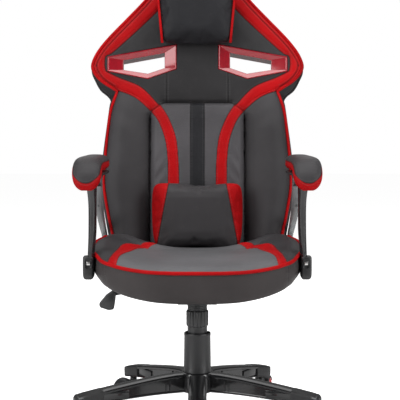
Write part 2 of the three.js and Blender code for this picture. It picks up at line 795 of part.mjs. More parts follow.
function seatCushion() {
  const ring = (share, height) => seatOutline(share).map((point) => point.setZ(height(point)));
  const crown = boardTop + seatCrownHeight;
  const dish = (amount) => (point) => {
    const rim = seatRimHeight(point.clone().divideScalar(0.9));
    return crown + (rim - crown) * amount;
  };
  const under = boardTop + fitGap;
  const body = loft([
    ring(0.3, () => under), ring(boardShare + 0.015, () => under), ring(boardShare + 0.02, skirtHeight),
    ring(boardShare + 0.06, skirtHeight),
    ring(0.985, (point) => skirtHeight(point) * 0.55 + seatRimHeight(point) * 0.45),
    ring(1, seatRimHeight), ring(0.93, (point) => seatRimHeight(point) + 7),
    ring(0.8, dish(0.7)), ring(0.6, dish(0.2)), ring(0.3, () => crown),
  ]);
  return cut(body, ...seatRails(fitGap), ...armSleeves(fitGap * 2));
}

function seatRails(grow) {
  const inner = railShare * seatHalf;
  return [-1, 1].map((side) => {
    const x0 = Math.min(side * (inner - grow), side * (inner + railThickness + grow));
    const x1 = Math.max(side * (inner - grow), side * (inner + railThickness + grow));
    return block(x0, x1, -armFootSetback - 25 - grow, 60 + grow, boardTop - 6, boardTop + railHeight + grow);
  });
}

function seatBoard() {
  const outline = seatOutline(boardShare).map((point) => [point.x, point.y]);
  const settings = { depth: boardThickness, bevelEnabled: false };
  const board = new THREE.ExtrudeGeometry(outlineShape(outline), settings);
  return joined(board.translate(0, 0, boardBottom), ...seatRails(0));
}

// Backrest ----------------------------------------------------------------------

// Half outline, bottom to top: [height above the hinge line, half width], for an 825 x 606 back
const backPlan = [
  [-40, 236], [29, 249], [93, 261], [177, 273], [257, 269], [357, 257], [410, 250], [425, 247],
  [440, 256], [458, 277], [482, 291], [513, 303], [544, 294], [575, 274], [609, 245], [655, 201],
  [715, 146], [770, 112], [785, 100],
];
const planWidth = 606;
const planHeight = 825;
const planBelow = 40;

function planX(x) {
  return (x * backWidth) / planWidth;
}

function planV(v) {
  return ((v + planBelow) * backHeight) / planHeight - backBelowSeat;
}

function backHalfWidthAt(v) {
  const rows = backPlan.map(([height, half]) => [planV(height), planX(half)]);
  const next = rows.findIndex(([height]) => height >= v);
  const [v0, x0] = rows[Math.max(next - 1, 0)];
  const [v1, x1] = rows[Math.max(next, 0)];
  return v1 === v0 ? x1 : x0 + ((x1 - x0) * (v - v0)) / (v1 - v0);
}

function backToWorld(x, d, v) {
  const y = backHingeSetback + v * Math.sin(lean) + d * Math.cos(lean);
  const z = backOriginZ + v * Math.cos(lean) - d * Math.sin(lean);
  return new THREE.Vector3(x, y, z);
}

// The trim's front edge and the opening through it, on the right side: [x, height]
const trimPlan = [[59, 579], [258, 543], [258, 500], [142, 477], [59, 506]];
const holePlan = [[94, 555], [212, 533], [212, 505.5], [142, 494.5], [94, 511]];

function planOutline(points, side, grow) {
  const placed = points.map(([x, v]) => [side * planX(x), planV(v)]);
  return offsetOutline(placed, grow);
}

function trimPrism(points, side, grow, d0, d1) {
  return slabAlongY(planOutline(points, side, grow), d0, d1);
}

function rearFaceAt(v) {
  const share = THREE.MathUtils.clamp(v / planV(785), 0, 1);
  return rearPadFront + rearPadThickness + (rearPadTopThickness - rearPadThickness) * share;
}

function harnessTrim(side) {
  const rearFace = rearFaceAt(planV(505));
  const front = planOutline(trimPlan, side, -trimWall);
  const throat = planOutline(holePlan, side, 0);
  const funnel = loft([
    front.map(([x, v]) => new THREE.Vector3(x, -trimProud - 1, v)),
    throat.map(([x, v]) => new THREE.Vector3(x, funnelDepth, v)),
    throat.map(([x, v]) => new THREE.Vector3(x, rearFace + 20, v)),
  ]);
  const body = joined(
    trimPrism(trimPlan, side, 0, -trimProud, foamThickness),
    trimPrism(holePlan, side, trimWall, foamThickness - 5, rearFace + 2),
    trimPrism(holePlan, side, 2.5 * trimWall, rearFace + fitGap, rearFace + 4),
  );
  return cut(body, funnel);
}

function backRow(v, half) {
  const upper = smooth(v, planV(380), planV(440));
  const ends = smooth(v, planV(-30), planV(60)) * (1 - smooth(v, planV(700), planV(770)));
  const bolster = -bolsterRise * (1 - 0.75 * upper) * ends;
  const edge = foamThickness * 0.2;
  const rightSide = [
    [0, 0], [0.3, 0], [0.55, bolster * 0.1], [0.72, bolster * 0.95], [0.88, bolster],
    [0.97, edge + bolster * 0.4], [1, foamThickness * 0.55], [0.985, foamThickness],
  ];
  const leftSide = rightSide.slice(1).map(([x, d]) => [-x, d]).reverse();
  return [...leftSide, ...rightSide].map(([x, d]) => new THREE.Vector3(x * half, d, v));
}

function backCushion() {
  const rows = backPlan.map(([v, half]) => backRow(planV(v), planX(half)));
  const holes = [-1, 1].map((side) => trimPrism(trimPlan, side, fitGap, -80, foamThickness + 1));
  return cut(loft(rows), ...holes);
}

function backFrame() {
  const right = backPlan.map(([v, half]) => [planX(half) - 3, planV(v)]);
  const left = right.map(([x, v]) => [-x, v]).reverse();
  const board = slabAlongY([...right, ...left], frameFront, frameRear);
  const growth = trimWall + fitGap;
  const holes = [-1, 1].map((side) => trimPrism(holePlan, side, growth, frameFront - 1, frameRear + 1));
  return cut(board, ...holes);
}

function backRearPad() {
  const rows = backPlan.map(([height, plan]) => {
    const v = planV(height);
    const half = planX(plan);
    const rear = rearFaceAt(v);
    return [
      [-0.985 * half, rearPadFront], [-half, rearPadFront + 3], [-half + 12, rear],
      [half - 12, rear], [half, rearPadFront + 3], [0.985 * half, rearPadFront],
    ].map(([x, d]) => new THREE.Vector3(x, d, v));
  });
  const growth = trimWall + fitGap;
  const holes = [-1, 1].map((side) => trimPrism(holePlan, side, growth, frameRear, frameRear + 60));
  return cut(loft(rows), ...holes);
}

// A bent strap: flat under the seat board, then up behind the back.
function backBracket() {
  const behind = rearPadFront + rearPadThickness + fitGap;
  const top = boardBottom - fitGap;
  const bottom = top - bracketThickness;
  const inner = (z) => {
    const v = (z - backOriginZ + behind * Math.sin(lean)) / Math.cos(lean);
    const place = backToWorld(0, behind, v);
    return [place.y, place.z];
  };
  const outer = (z) => {
    const v = (z - backOriginZ + (behind + bracketThickness) * Math.sin(lean)) / Math.cos(lean);
    const place = backToWorld(0, behind + bracketThickness, v);
    return [place.y, place.z];
  };
  const upperEnd = backOriginZ + bracketRise;
  const start = seatPlateDepth / 2 + 4;
  return slabAlongX(
    [[start, bottom], outer(bottom), outer(upperEnd), inner(upperEnd), inner(top), [start, top]],
    -bracketWidth / 2, bracketWidth / 2,
  );
}

// A pillow: a soft rectangle that thins to a seam all round. Depths run forwards from the back.
function pillow(halfWidth, halfHeight, depth, narrow) {
  const section = softRectangle(20, 0.45);
  const layer = (share, d) => section.map(([x, v]) => new THREE.Vector3(
    x * halfWidth * share * (1 + narrow * v), d, v * halfHeight * share,
  ));
  return loft([
    layer(0.4, 0), layer(0.8, 0), layer(0.96, -depth * 0.2), layer(1, -depth * 0.4),
    layer(0.95, -depth * 0.68), layer(0.78, -depth * 0.88), layer(0.4, -depth),
  ]);
}

function backrest() {
  const group = new THREE.Group();
  group.position.set(0, backHingeSetback, backOriginZ);
  group.rotation.x = -lean;
  const headMiddle = planV(588) + headPillowHeight / 2;
  const headFront = bolsterRise * 0.25 + trimProud + 2;
  const head = pillow(headPillowWidth / 2, headPillowHeight / 2, headPillowDepth, 0.03);
  const lumbar = pillow(lumbarWidth / 2, lumbarHeight / 2, lumbarDepth, 0);
  group.add(piece('back_cushion', backCushion(), 'darkLeather'));
  group.add(piece('back_frame', backFrame(), 'plywood'));
  group.add(piece('back_rear_pad', backRearPad(), 'darkLeather'));
  group.add(piece('harness_trim_left', harnessTrim(-1), 'redPlastic'));
  group.add(piece('harness_trim_right', harnessTrim(1), 'redPlastic'));
  group.add(piece('head_pillow', head.translate(0, -headFront, headMiddle), 'darkLeather'));
  group.add(piece('lumbar_pillow', lumbar.translate(0, -5, planV(14) + lumbarHeight / 2), 'darkLeather'));
  return group;
}

// Armrests ------------------------------------------------------------------------

const armPadZ = boardTop + armPadHeightAboveBoard - armPadHeight / 2;
const armPadFront = -252;
const seatHalfAtFoot = 0.95 * seatHalf;
const footInner = seatHalfAtFoot + 5;
const armX = footInner + armFootWidth / 2 - 10;
const footBottom = boardTop + armFootHeightAboveBoard;
const footTop = footBottom + armFootHeight;
const sleeveZ = footBottom + 0.45 * armFootHeight;

function armSleeves(grow) {
  const outerEnd = footInner + 2;
  const innerEnd = railShare * seatHalf + railThickness + fitGap;
  return [-1, 1].map((side) => rodAlongX(
    armSleeveDiameter / 2 + grow,
    side > 0 ? innerEnd : -outerEnd, side > 0 ? outerEnd : -innerEnd, -armFootSetback, sleeveZ,
  ));
}

// The centre line of the pad in side view, rear to front: [y, z, share of the full section]
function armPadLine() {
  const front = armPadFront;
  const rear = armPadFront + armPadLength;
  return [
    [rear, armPadZ - 2, 0.62], [rear - 6, armPadZ - 0.5, 0.88], [rear - 16, armPadZ, 1],
    [rear - 110, armPadZ, 1], [front + 108, armPadZ, 1], [front + 76, armPadZ - 3, 1],
    [front + 52, armPadZ - 12, 1], [front + 34, armPadZ - 27, 0.98], [front + 24, armPadZ - 43, 0.92],
    [front + 20, armPadZ - 58, 0.72],
  ];
}

// Rings along the pad's centre line, shifted along its normal.
function armSweep(line, halfWidth, halfHeight, shift, middleX) {
  const section = softRectangle(12, 0.55);
  return loft(line.map(([y, z, share], i) => {
    const before = line[Math.max(i - 1, 0)];
    const after = line[Math.min(i + 1, line.length - 1)];
    const along = new THREE.Vector2(after[0] - before[0], after[1] - before[1]).normalize();
    const normal = new THREE.Vector2(along.y, -along.x);
    return section.map(([across, up]) => {
      const lift = up * halfHeight * share + shift;
      return new THREE.Vector3(
        middleX + across * halfWidth * share, y + normal.x * lift, z + normal.y * lift,
      );
    });
  }));
}

function armPlateLine() {
  return armPadLine().slice(2, 8).map(([y, z]) => [y, z, 1]);
}

function armPlate(side, grow, extraRise) {
  const half = armPlateThickness / 2 + grow + extraRise / 2;
  const shift = -(armPadHeight / 2 + fitGap + armPlateThickness / 2) + extraRise / 2;
  return armSweep(armPlateLine(), armPlateWidth / 2 + grow + extraRise, half, shift, side * armX);
}

function legLoft(stations) {
  const section = softRectangle(12, 0.5);
  return loft(stations.map(([x, y, z, halfX, halfY]) => section.map(
    ([across, along]) => new THREE.Vector3(x + across * halfX, y + along * halfY, z),
  )));
}

function armFrontLeg(side) {
  const top = armPadZ - armPadHeight / 2;
  const height = top - footTop;
  const x = (offset) => side * (armX + offset);
  const y = -armFootSetback;
  const leg = legLoft([
    [x(3), y, footTop + fitGap, 8.5, 20], [x(2), y - 1, footTop + 0.08 * height, 8.7, 20],
    [x(-1), y - 6, footTop + 0.32 * height, 9.8, 19], [x(-2), y - 13, footTop + 0.64 * height, 9.8, 19],
    [x(-1), y - 20, footTop + 0.86 * height, 13, 24], [x(-1), y - 21, top, 16, 30],
  ]);
  return cut(leg, armPlate(side, 2 * fitGap, 40));
}

function armRearLeg(side) {
  const top = armPadZ - armPadHeight / 2;
  const foot = backToWorld(0, 0.5 * (frameFront + frameRear), planV(30));
  const footX = backHalfWidthAt(planV(60)) + 2 * fitGap + 8;
  const start = armPadFront + armPadLength - 34;
  const place = (share, drop, halfX, halfY) => {
    const x = armX + (footX - armX) * smooth(share, 0, 0.75);
    return [side * x, start + (foot.y - start) * share ** 1.25, top + (foot.z - top) * drop, halfX, halfY];
  };
  const leg = legLoft([
    place(0, 0, 13, 26), place(0.02, 0.16, 11, 21), place(0.16, 0.4, 11, 19), place(0.45, 0.62, 9.5, 20),
    place(0.78, 0.83, 8, 21), place(1, 0.97, 7.6, 19), place(1.02, 1.08, 7.4, 15),
  ]);
  return cut(leg, armPlate(side, 2 * fitGap, 40));
}

function armFoot(side) {
  const halfLength = armFootLength / 2;
  const middleX = side * (footInner + armFootWidth / 2);
  const socket = legLoft([
    [middleX, -armFootSetback, footBottom, armFootWidth / 2 - 3, halfLength - 4],
    [middleX, -armFootSetback, footBottom + 5, armFootWidth / 2, halfLength],
    [middleX, -armFootSetback, footTop - 3, armFootWidth / 2, halfLength],
    [middleX, -armFootSetback, footTop, armFootWidth / 2 - 2, halfLength - 2],
  ]);
  const sleeve = armSleeves(0)[side > 0 ? 1 : 0];
  return joined(socket, sleeve);
}

function armrests() {
  const group = new THREE.Group();
  [-1, 1].forEach((side) => {
    const name = side < 0 ? 'left' : 'right';
    const pad = armSweep(armPadLine(), armPadWidth / 2, armPadHeight / 2, 0, side * (armX + 6.5));
    group.add(piece(`armrest_${name}_pad`, pad, 'darkLeather'));
    group.add(piece(`armrest_${name}_plate`, armPlate(side, 0, 0), 'blackPlastic'));
    group.add(piece(`armrest_${name}_front_leg`, armFrontLeg(side), 'glossPlastic'));
    group.add(piece(`armrest_${name}_rear_leg`, armRearLeg(side), 'glossPlastic'));
    group.add(piece(`armrest_${name}_foot`, armFoot(side), 'blackPlastic'));
  });
  return group;
}

const chair = new THREE.Group();
chair.add(piece('star_base', starBase(), 'glossPlastic'));
chair.add(casters());
chair.add(gasColumn());
chair.add(tiltMechanism());
chair.add(piece('seat_board', seatBoard(), 'plywood'));
chair.add(piece('seat_cushion', seatCushion(), 'darkLeather'));
chair.add(piece('back_bracket', backBracket(), 'blackSteel'));
chair.add(backrest());
chair.add(armrests());

export default chair;
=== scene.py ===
import math

import bpy
import numpy as np
from mathutils import Matrix, Vector
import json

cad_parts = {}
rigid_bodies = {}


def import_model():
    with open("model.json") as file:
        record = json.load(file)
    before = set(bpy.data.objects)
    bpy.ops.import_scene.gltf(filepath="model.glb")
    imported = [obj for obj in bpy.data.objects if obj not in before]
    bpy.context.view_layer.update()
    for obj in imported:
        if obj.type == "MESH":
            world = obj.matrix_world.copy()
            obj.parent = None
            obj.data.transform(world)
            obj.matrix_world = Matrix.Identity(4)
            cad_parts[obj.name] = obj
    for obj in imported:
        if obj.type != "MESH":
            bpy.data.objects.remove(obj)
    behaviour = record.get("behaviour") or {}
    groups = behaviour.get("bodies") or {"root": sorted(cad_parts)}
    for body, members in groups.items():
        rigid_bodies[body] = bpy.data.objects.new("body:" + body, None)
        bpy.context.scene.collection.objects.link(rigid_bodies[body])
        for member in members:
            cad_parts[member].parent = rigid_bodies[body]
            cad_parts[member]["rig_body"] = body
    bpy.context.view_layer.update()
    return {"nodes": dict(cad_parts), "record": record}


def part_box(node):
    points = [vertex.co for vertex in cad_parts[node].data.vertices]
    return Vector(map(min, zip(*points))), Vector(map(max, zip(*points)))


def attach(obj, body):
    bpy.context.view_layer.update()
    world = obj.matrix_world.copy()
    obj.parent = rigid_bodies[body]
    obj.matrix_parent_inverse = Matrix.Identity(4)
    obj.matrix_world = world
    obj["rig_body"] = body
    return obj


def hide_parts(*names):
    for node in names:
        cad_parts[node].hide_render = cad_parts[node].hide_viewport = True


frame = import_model()
scene = bpy.context.scene
bpy.ops.object.select_all(action="DESELECT")
mm = 0.001

# camera, floor and lights

studio = {
    "cameraPlace": (0.002, -2.9, 0.79),
    "pitchDown": 3.91,
    "turnRight": 0.1,
    "lens": 98.5,
    "floorSize": 30.0,
    "floorColour": (0.9, 0.9, 0.9, 1),
    "floorGlow": 0.86,
    "ambient": 0.13,
    "softboxes": [
        # place, aims at, width, height, power
        ((-2.4, -1.5, 1.5), (0, 0, 0.7), 1.1, 2.6, 52),
        ((2.4, -1.5, 1.5), (0, 0, 0.7), 1.1, 2.6, 52),
        ((0.0, -0.3, 2.9), (0, -0.1, 0.5), 2.6, 2.6, 72),
        ((-1.15, -1.8, 1.65), (-0.05, 0.25, 1.0), 0.7, 1.0, 9),
        ((0.0, 2.6, 2.2), (0, 0.2, 0.7), 2.4, 1.6, 9),
    ],
}


def aim(place, target):
    return (Vector(target) - Vector(place)).to_track_quat("-Z", "Y").to_euler()


def buildStudio():
    pitch = math.radians(90 - studio["pitchDown"])
    turn = -math.radians(studio["turnRight"])
    bpy.ops.object.camera_add(location=studio["cameraPlace"], rotation=(pitch, 0, turn))
    camera = bpy.context.object
    camera.name = "camera"
    camera.data.lens = studio["lens"]
    camera.data.sensor_width = 36
    scene.camera = camera
    for i, (place, target, width, height, power) in enumerate(studio["softboxes"]):
        bpy.ops.object.light_add(type="AREA", location=place, rotation=aim(place, target))
        light = bpy.context.object
        light.name = f"softbox_{i}"
        light.data.shape = "RECTANGLE"
        light.data.size = width
        light.data.size_y = height
        light.data.energy = power
    bpy.ops.mesh.primitive_plane_add(size=studio["floorSize"], location=(0, 0, -0.0005))
    floor = bpy.context.object
    floor.name = "floor"
    bpy.ops.object.transform_apply(location=True)
    world = bpy.data.worlds.new("softRoom")
    scene.world = world
    world.use_nodes = True
    tree = world.node_tree
    background = tree.nodes["Background"]
    background.inputs["Color"].default_value = (1, 1, 1, 1)
    path = tree.nodes.new("ShaderNodeLightPath")
    strength = tree.nodes.new("ShaderNodeMix")
    strength.inputs[2].default_value = studio["ambient"]
    strength.inputs[3].default_value = 1.0
    tree.links.new(path.outputs["Is Camera Ray"], strength.inputs[0])
    tree.links.new(strength.outputs[0], background.inputs["Strength"])
    scene.view_settings.view_transform = "Standard"
    return floor


# mesh helpers: lengths are given in millimetres

def newPiece(name, points, faces, edges=()):
    mesh = bpy.data.meshes.new(name)
    mesh.from_pydata([tuple(point) for point in np.asarray(points, float) * mm], list(edges), faces)
    piece = bpy.data.objects.new(name, mesh)
    scene.collection.objects.link(piece)
    return piece


def choose(piece):
    bpy.ops.object.select_all(action="DESELECT")
    piece.select_set(True)
    bpy.context.view_layer.objects.active = piece


def openEdit(piece, everything=True):
    choose(piece)
    bpy.ops.object.mode_set(mode="EDIT")
    bpy.ops.mesh.select_mode(type="FACE")
    bpy.ops.mesh.select_all(action="SELECT" if everything else "DESELECT")


def closeEdit():
    bpy.ops.object.mode_set(mode="OBJECT")


def faceOutwards(piece):
    openEdit(piece)
    bpy.ops.mesh.remove_doubles(threshold=0.00001)
    bpy.ops.mesh.normals_make_consistent(inside=False)
    closeEdit()
    return piece


def useModifier(piece, kind, **settings):
    choose(piece)
    modifier = piece.modifiers.new(kind.lower(), kind)
    for key, value in settings.items():
        setattr(modifier, key, value)
    bpy.ops.object.modifier_apply(modifier=modifier.name)
    return piece


def softened(piece, width=1.0, segments=2, angle=30):
    return useModifier(
        piece, "BEVEL", width=width * mm, segments=segments,
        limit_method="ANGLE", angle_limit=math.radians(angle), harden_normals=False,
    )


def subdivided(piece, levels=1):
    return useModifier(piece, "SUBSURF", levels=levels, render_levels=levels)


def smoothed(piece, angle=38):
    choose(piece)
    bpy.ops.object.shade_smooth_by_angle(angle=math.radians(angle))
    return piece


def lofted(name, rings, caps=True, loop=False):
    rings = np.asarray(rings, float)
    count, sides = rings.shape[:2]
    faces = []
    for i in range(count if loop else count - 1):
        here = i * sides
        there = ((i + 1) % count) * sides
        for j in range(sides):
            k = (j + 1) % sides
            faces.append((here + j, here + k, there + k, there + j))
    if caps and not loop:
        faces.append(tuple(range(sides)))
        faces.append(tuple((count - 1) * sides + j for j in range(sides)))
    return faceOutwards(newPiece(name, rings.reshape(-1, 3), faces))


def tube(name, path, radius, reference, loop=False, sides=10):
    path = np.asarray(path, float)
    if loop:
        ahead, behind = np.roll(path, -1, 0), np.roll(path, 1, 0)
    else:
        ahead = np.vstack([path[1:], path[-1:]])
        behind = np.vstack([path[:1], path[:-1]])
    along = ahead - behind
    along /= np.linalg.norm(along, axis=1)[:, None]
    across = np.cross(along, reference)
    across /= np.linalg.norm(across, axis=1)[:, None]
    up = np.cross(across, along)
    turn = np.linspace(0, 2 * math.pi, sides, endpoint=False)
    rings = path[:, None] + radius * (
        np.cos(turn)[None, :, None] * across[:, None] + np.sin(turn)[None, :, None] * up[:, None]
    )
    return lofted(name, rings, loop=loop)


def turned(name, profile, centre=(0, 0, 0), axis="Z", steps=48):
    points = [(radius, 0, height) for radius, height in profile]
    edges = [(i, i + 1) for i in range(len(points) - 1)]
    if profile[0][0] > 0:
        edges.append((len(points) - 1, 0))
    piece = newPiece(name, points, [], edges)
    choose(piece)
    bpy.ops.object.mode_set(mode="EDIT")
    bpy.ops.mesh.select_mode(type="VERT")
    bpy.ops.mesh.select_all(action="SELECT")
    bpy.ops.mesh.spin(steps=steps, angle=2 * math.pi, center=(0, 0, 0), axis=(0, 0, 1))
    closeEdit()
    turns = {"Z": Matrix.Identity(4), "X": Matrix.Rotation(math.pi / 2, 4, "Y"),
             "Y": Matrix.Rotation(-math.pi / 2, 4, "X")}
    piece.data.transform(turns[axis])
    piece.data.transform(Matrix.Translation(Vector(centre) * mm))
    return faceOutwards(piece)


def slab(name, centre, size, bevel=1.0, segments=2):
    bpy.ops.mesh.primitive_cube_add(size=1, location=Vector(centre) * mm, scale=Vector(size) * mm)
    piece = bpy.context.object
    piece.name = name
    bpy.ops.object.transform_apply(location=True, rotation=True, scale=True)
    openEdit(piece)
    bpy.ops.mesh.bevel(offset=bevel * mm, segments=segments, affect="EDGES")
    closeEdit()
    return piece


def prism(name, outline, low, high, place):
    # an outline of (a, b) carried from low to high; place turns (a, b, height) into a point
    rings = [[place(a, b, height) for a, b in outline] for height in (low, high)]
    return lofted(name, rings)


def joinPieces(name, pieces):
    bpy.ops.object.select_all(action="DESELECT")
    for piece in pieces:
        piece.select_set(True)
    bpy.context.view_layer.objects.active = pieces[0]
    bpy.ops.object.join()
    whole = bpy.context.object
    whole.name = name
    return whole


def cutBy(piece, cutters):
    for cutter in cutters:
        useModifier(piece, "BOOLEAN", operation="DIFFERENCE", solver="EXACT", object=cutter)
        bpy.data.objects.remove(cutter)
    return piece


def flowing(points, steps=6, loop=False):
    # a smooth line through the points
    points = np.asarray(points, float)
    if loop:
        padded = np.vstack([points[-1:], points, points[:2]])
    else:
        padded = np.vstack([2 * points[:1] - points[1:2], points, 2 * points[-1:] - points[-2:-1]])
    line = []
    for a, b, c, d in zip(padded, padded[1:], padded[2:], padded[3:]):
        for t in np.linspace(0, 1, steps, endpoint=False):
            line.append(0.5 * (2 * b + (c - a) * t + (2 * a - 5 * b + 4 * c - d) * t * t
                               + (3 * b - a - 3 * c + d) * t ** 3))
    if not loop:
        line.append(points[-1])
    return np.array(line)


def ramp(value, low, high):
    share = np.clip((np.asarray(value, float) - low) / (high - low), 0, 1)
    return share * share * (3 - 2 * share)


def nearestOn(points, line):
    best = np.full(len(points), 1e9)
    along = np.zeros(len(points))
    walked = 0.0
    for a, b in zip(line[:-1], line[1:]):
        step = b - a
        length = max(np.linalg.norm(step), 1e-9)
        share = np.clip(((points - a) @ step) / length ** 2, 0, 1)
        gap = np.linalg.norm(points - a - share[:, None] * step, axis=1)
        closer = gap < best
        best[closer] = gap[closer]
        along[closer] = (walked + share * length)[closer]
        walked += length
    return best, along


def insideDistance(points, outline):
    # distance to a closed outline, positive inside it
    outline = np.asarray(outline, float)
    closed = np.vstack([outline, outline[:1]])
    gap = nearestOn(points, closed)[0]
    within = np.zeros(len(points), bool)
    for a, b in zip(closed[:-1], closed[1:]):
        spans = (a[1] > points[:, 1]) != (b[1] > points[:, 1])
        rise = b[1] - a[1] if b[1] != a[1] else 1e-9
        crossing = a[0] + (points[:, 1] - a[1]) / rise * (b[0] - a[0])
        within ^= spans & (points[:, 0] < crossing)
    return np.where(within, gap, -gap)


def writeField(piece, name, values):
    field = piece.data.attributes.new(name, "FLOAT", "POINT")
    field.data.foreach_set("value", np.asarray(values, np.float32))


def meshPoints(piece):
    points = np.zeros(len(piece.data.vertices) * 3)
    piece.data.vertices.foreach_get("co", points)
    return points.reshape(-1, 3) / mm


def setMeshPoints(piece, points):
    piece.data.vertices.foreach_set("co", (np.asarray(points) * mm).ravel())
    piece.data.update()


def settle(piece, nodes, material, angle=38, body=None):
    # rides with its node's body, stands for the nodes and takes its finish
    nodes = [nodes] if isinstance(nodes, str) else nodes
    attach(piece, body or frame["nodes"][nodes[0]]["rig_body"])
    if nodes:
        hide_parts(*nodes)
    piece.data.materials.clear()
    piece.data.materials.append(material)
    smoothed(piece, angle)
    return piece


def nodeBox(name):
    low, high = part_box(name)
    return np.array(low) / mm, np.array(high) / mm


# shader helpers

def put(tree, socket, value):
    if isinstance(value, bpy.types.NodeSocket):
        tree.links.new(value, socket)
    elif value is not None:
        socket.default_value = value


def maths(tree, operation, first, second=None, third=None):
    node = tree.nodes.new("ShaderNodeMath")
    node.operation = operation
    for socket, value in zip(node.inputs, (first, second, third)):
        put(tree, socket, value)
    return node.outputs[0]


def rescale(tree, value, fromLow, fromHigh, toLow=0.0, toHigh=1.0):
    node = tree.nodes.new("ShaderNodeMapRange")
    for socket, item in zip(node.inputs, (value, fromLow, fromHigh, toLow, toHigh)):
        put(tree, socket, item)
    return node.outputs[0]


def blendColour(tree, share, first, second, mode="MIX"):
    node = tree.nodes.new("ShaderNodeMix")
    node.data_type = "RGBA"
    node.blend_type = mode
    put(tree, node.inputs[0], share)
    put(tree, node.inputs[6], first)
    put(tree, node.inputs[7], second)
    return node.outputs[2]


def noiseAt(tree, vector, scale, detail=2.0, roughness=0.5):
    node = tree.nodes.new("ShaderNodeTexNoise")
    put(tree, node.inputs["Vector"], vector)
    node.inputs["Scale"].default_value = scale
    node.inputs["Detail"].default_value = detail
    node.inputs["Roughness"].default_value = roughness
    return node.outputs[0]


def cellsAt(tree, vector, scale, feature="F1"):
    node = tree.nodes.new("ShaderNodeTexVoronoi")
    node.feature = feature
    put(tree, node.inputs["Vector"], vector)
    node.inputs["Scale"].default_value = scale
    return node.outputs["Distance"]


def stretched(tree, vector, scale):
    node = tree.nodes.new("ShaderNodeMapping")
    put(tree, node.inputs["Vector"], vector)
    node.inputs["Scale"].default_value = scale
    return node.outputs[0]


def newGroup(name, inputs, outputs):
    tree = bpy.data.node_groups.new(name, "ShaderNodeTree")
    for label, kind, value in inputs:
        socket = tree.interface.new_socket(label, in_out="INPUT", socket_type=kind)
        if value is not None:
            socket.default_value = value
    for label, kind in outputs:
        tree.interface.new_socket(label, in_out="OUTPUT", socket_type=kind)
    return tree, tree.nodes.new("NodeGroupInput").outputs, tree.nodes.new("NodeGroupOutput").inputs


def leatherGrainGroup():
    # pebbled grain, pores and slow colour drift of coated leather
    tree, given, result = newGroup(
        "leatherGrain",
        [("Vector", "NodeSocketVector", None), ("Size", "NodeSocketFloat", 1.0)],
        [("Height", "NodeSocketFloat"), ("Drift", "NodeSocketFloat"), ("Scuff", "NodeSocketFloat")],
    )
    node = tree.nodes.new("ShaderNodeVectorMath")
    node.operation = "SCALE"
    put(tree, node.inputs[0], given["Vector"])
    put(tree, node.inputs["Scale"], given["Size"])
    vector = node.outputs[0]
    pebbles = rescale(tree, cellsAt(tree, vector, 620, "DISTANCE_TO_EDGE"), 0.0, 0.22)
    fine = noiseAt(tree, vector, 1700, 3)
    creases = noiseAt(tree, stretched(tree, vector, (1.0, 1.0, 2.4)), 42, 5, 0.6)
    height = maths(tree, "MULTIPLY_ADD", fine, 0.35, pebbles)
    height = maths(tree, "MULTIPLY_ADD", creases, 1.6, height)
    drift = noiseAt(tree, vector, 7, 3, 0.55)
    scuff = rescale(tree, noiseAt(tree, vector, 60, 6, 0.7), 0.55, 0.8)
    put(tree, result["Height"], height)
    put(tree, result["Drift"], drift)
    put(tree, result["Scuff"], scuff)
    return tree


def mouldGrainGroup():
    # fine texture of moulded plastic, with faint flow and handling marks
    tree, given, result = newGroup(
        "mouldGrain",
        [("Vector", "NodeSocketVector", None)],
        [("Height", "NodeSocketFloat"), ("Smear", "NodeSocketFloat"), ("Dust", "NodeSocketFloat")],
    )
    vector = given["Vector"]
    sparks = cellsAt(tree, vector, 1500)
    height = maths(tree, "MULTIPLY_ADD", noiseAt(tree, vector, 900, 4), 0.6, sparks)
    smear = noiseAt(tree, stretched(tree, vector, (1, 1, 0.25)), 36, 5, 0.62)
    dust = rescale(tree, noiseAt(tree, vector, 210, 7, 0.72), 0.52, 0.78)
    put(tree, result["Height"], height)
    put(tree, result["Smear"], smear)
    put(tree, result["Dust"], dust)
    return tree


def edgeWearGroup():
    # where corners are rubbed
    tree, given, result = newGroup(
        "edgeWear",
        [("Vector", "NodeSocketVector", None), ("Amount", "NodeSocketFloat", 0.5)],
        [("Mask", "NodeSocketFloat")],
    )
    geometry = tree.nodes.new("ShaderNodeNewGeometry")
    rim = rescale(tree, geometry.outputs["Pointiness"], 0.52, 0.6)
    broken = rescale(tree, noiseAt(tree, given["Vector"], 130, 6, 0.65), 0.38, 0.7)
    mask = maths(tree, "MULTIPLY", maths(tree, "MULTIPLY", rim, broken), given["Amount"])
    put(tree, result["Mask"], mask)
    return tree


def seamGroup():
    # dark sewn line with stitches beside it and puckers running off it
    tree, given, result = newGroup(
        "seamLine",
        [("Gap", "NodeSocketFloat", 50.0), ("Along", "NodeSocketFloat", 0.0)],
        [("Line", "NodeSocketFloat"), ("Stitch", "NodeSocketFloat"), ("Height", "NodeSocketFloat")],
    )
    line = rescale(tree, given["Gap"], 0.3, 2.4, 1.0, 0.0)
    offset = maths(tree, "ABSOLUTE", maths(tree, "SUBTRACT", given["Gap"], 4.6))
    row = rescale(tree, offset, 0.35, 0.8, 1.0, 0.0)
    beat = maths(tree, "FRACT", maths(tree, "MULTIPLY", given["Along"], 1 / 5.5))
    dash = rescale(tree, maths(tree, "ABSOLUTE", maths(tree, "SUBTRACT", beat, 0.5)), 0.3, 0.36, 1.0, 0.0)
    stitch = maths(tree, "MULTIPLY", row, dash)
    reach = rescale(tree, given["Gap"], 2.0, 16.0, 1.0, 0.0)
    wave = maths(tree, "SINE", maths(tree, "MULTIPLY", given["Along"], 0.57))
    second = maths(tree, "SINE", maths(tree, "MULTIPLY", given["Along"], 0.23))
    pucker = maths(tree, "MULTIPLY", maths(tree, "MULTIPLY", wave, second), reach)
    put(tree, result["Line"], line)
    put(tree, result["Stitch"], stitch)
    put(tree, result["Height"], maths(tree, "MULTIPLY_ADD", stitch, 0.8, pucker))
    return tree


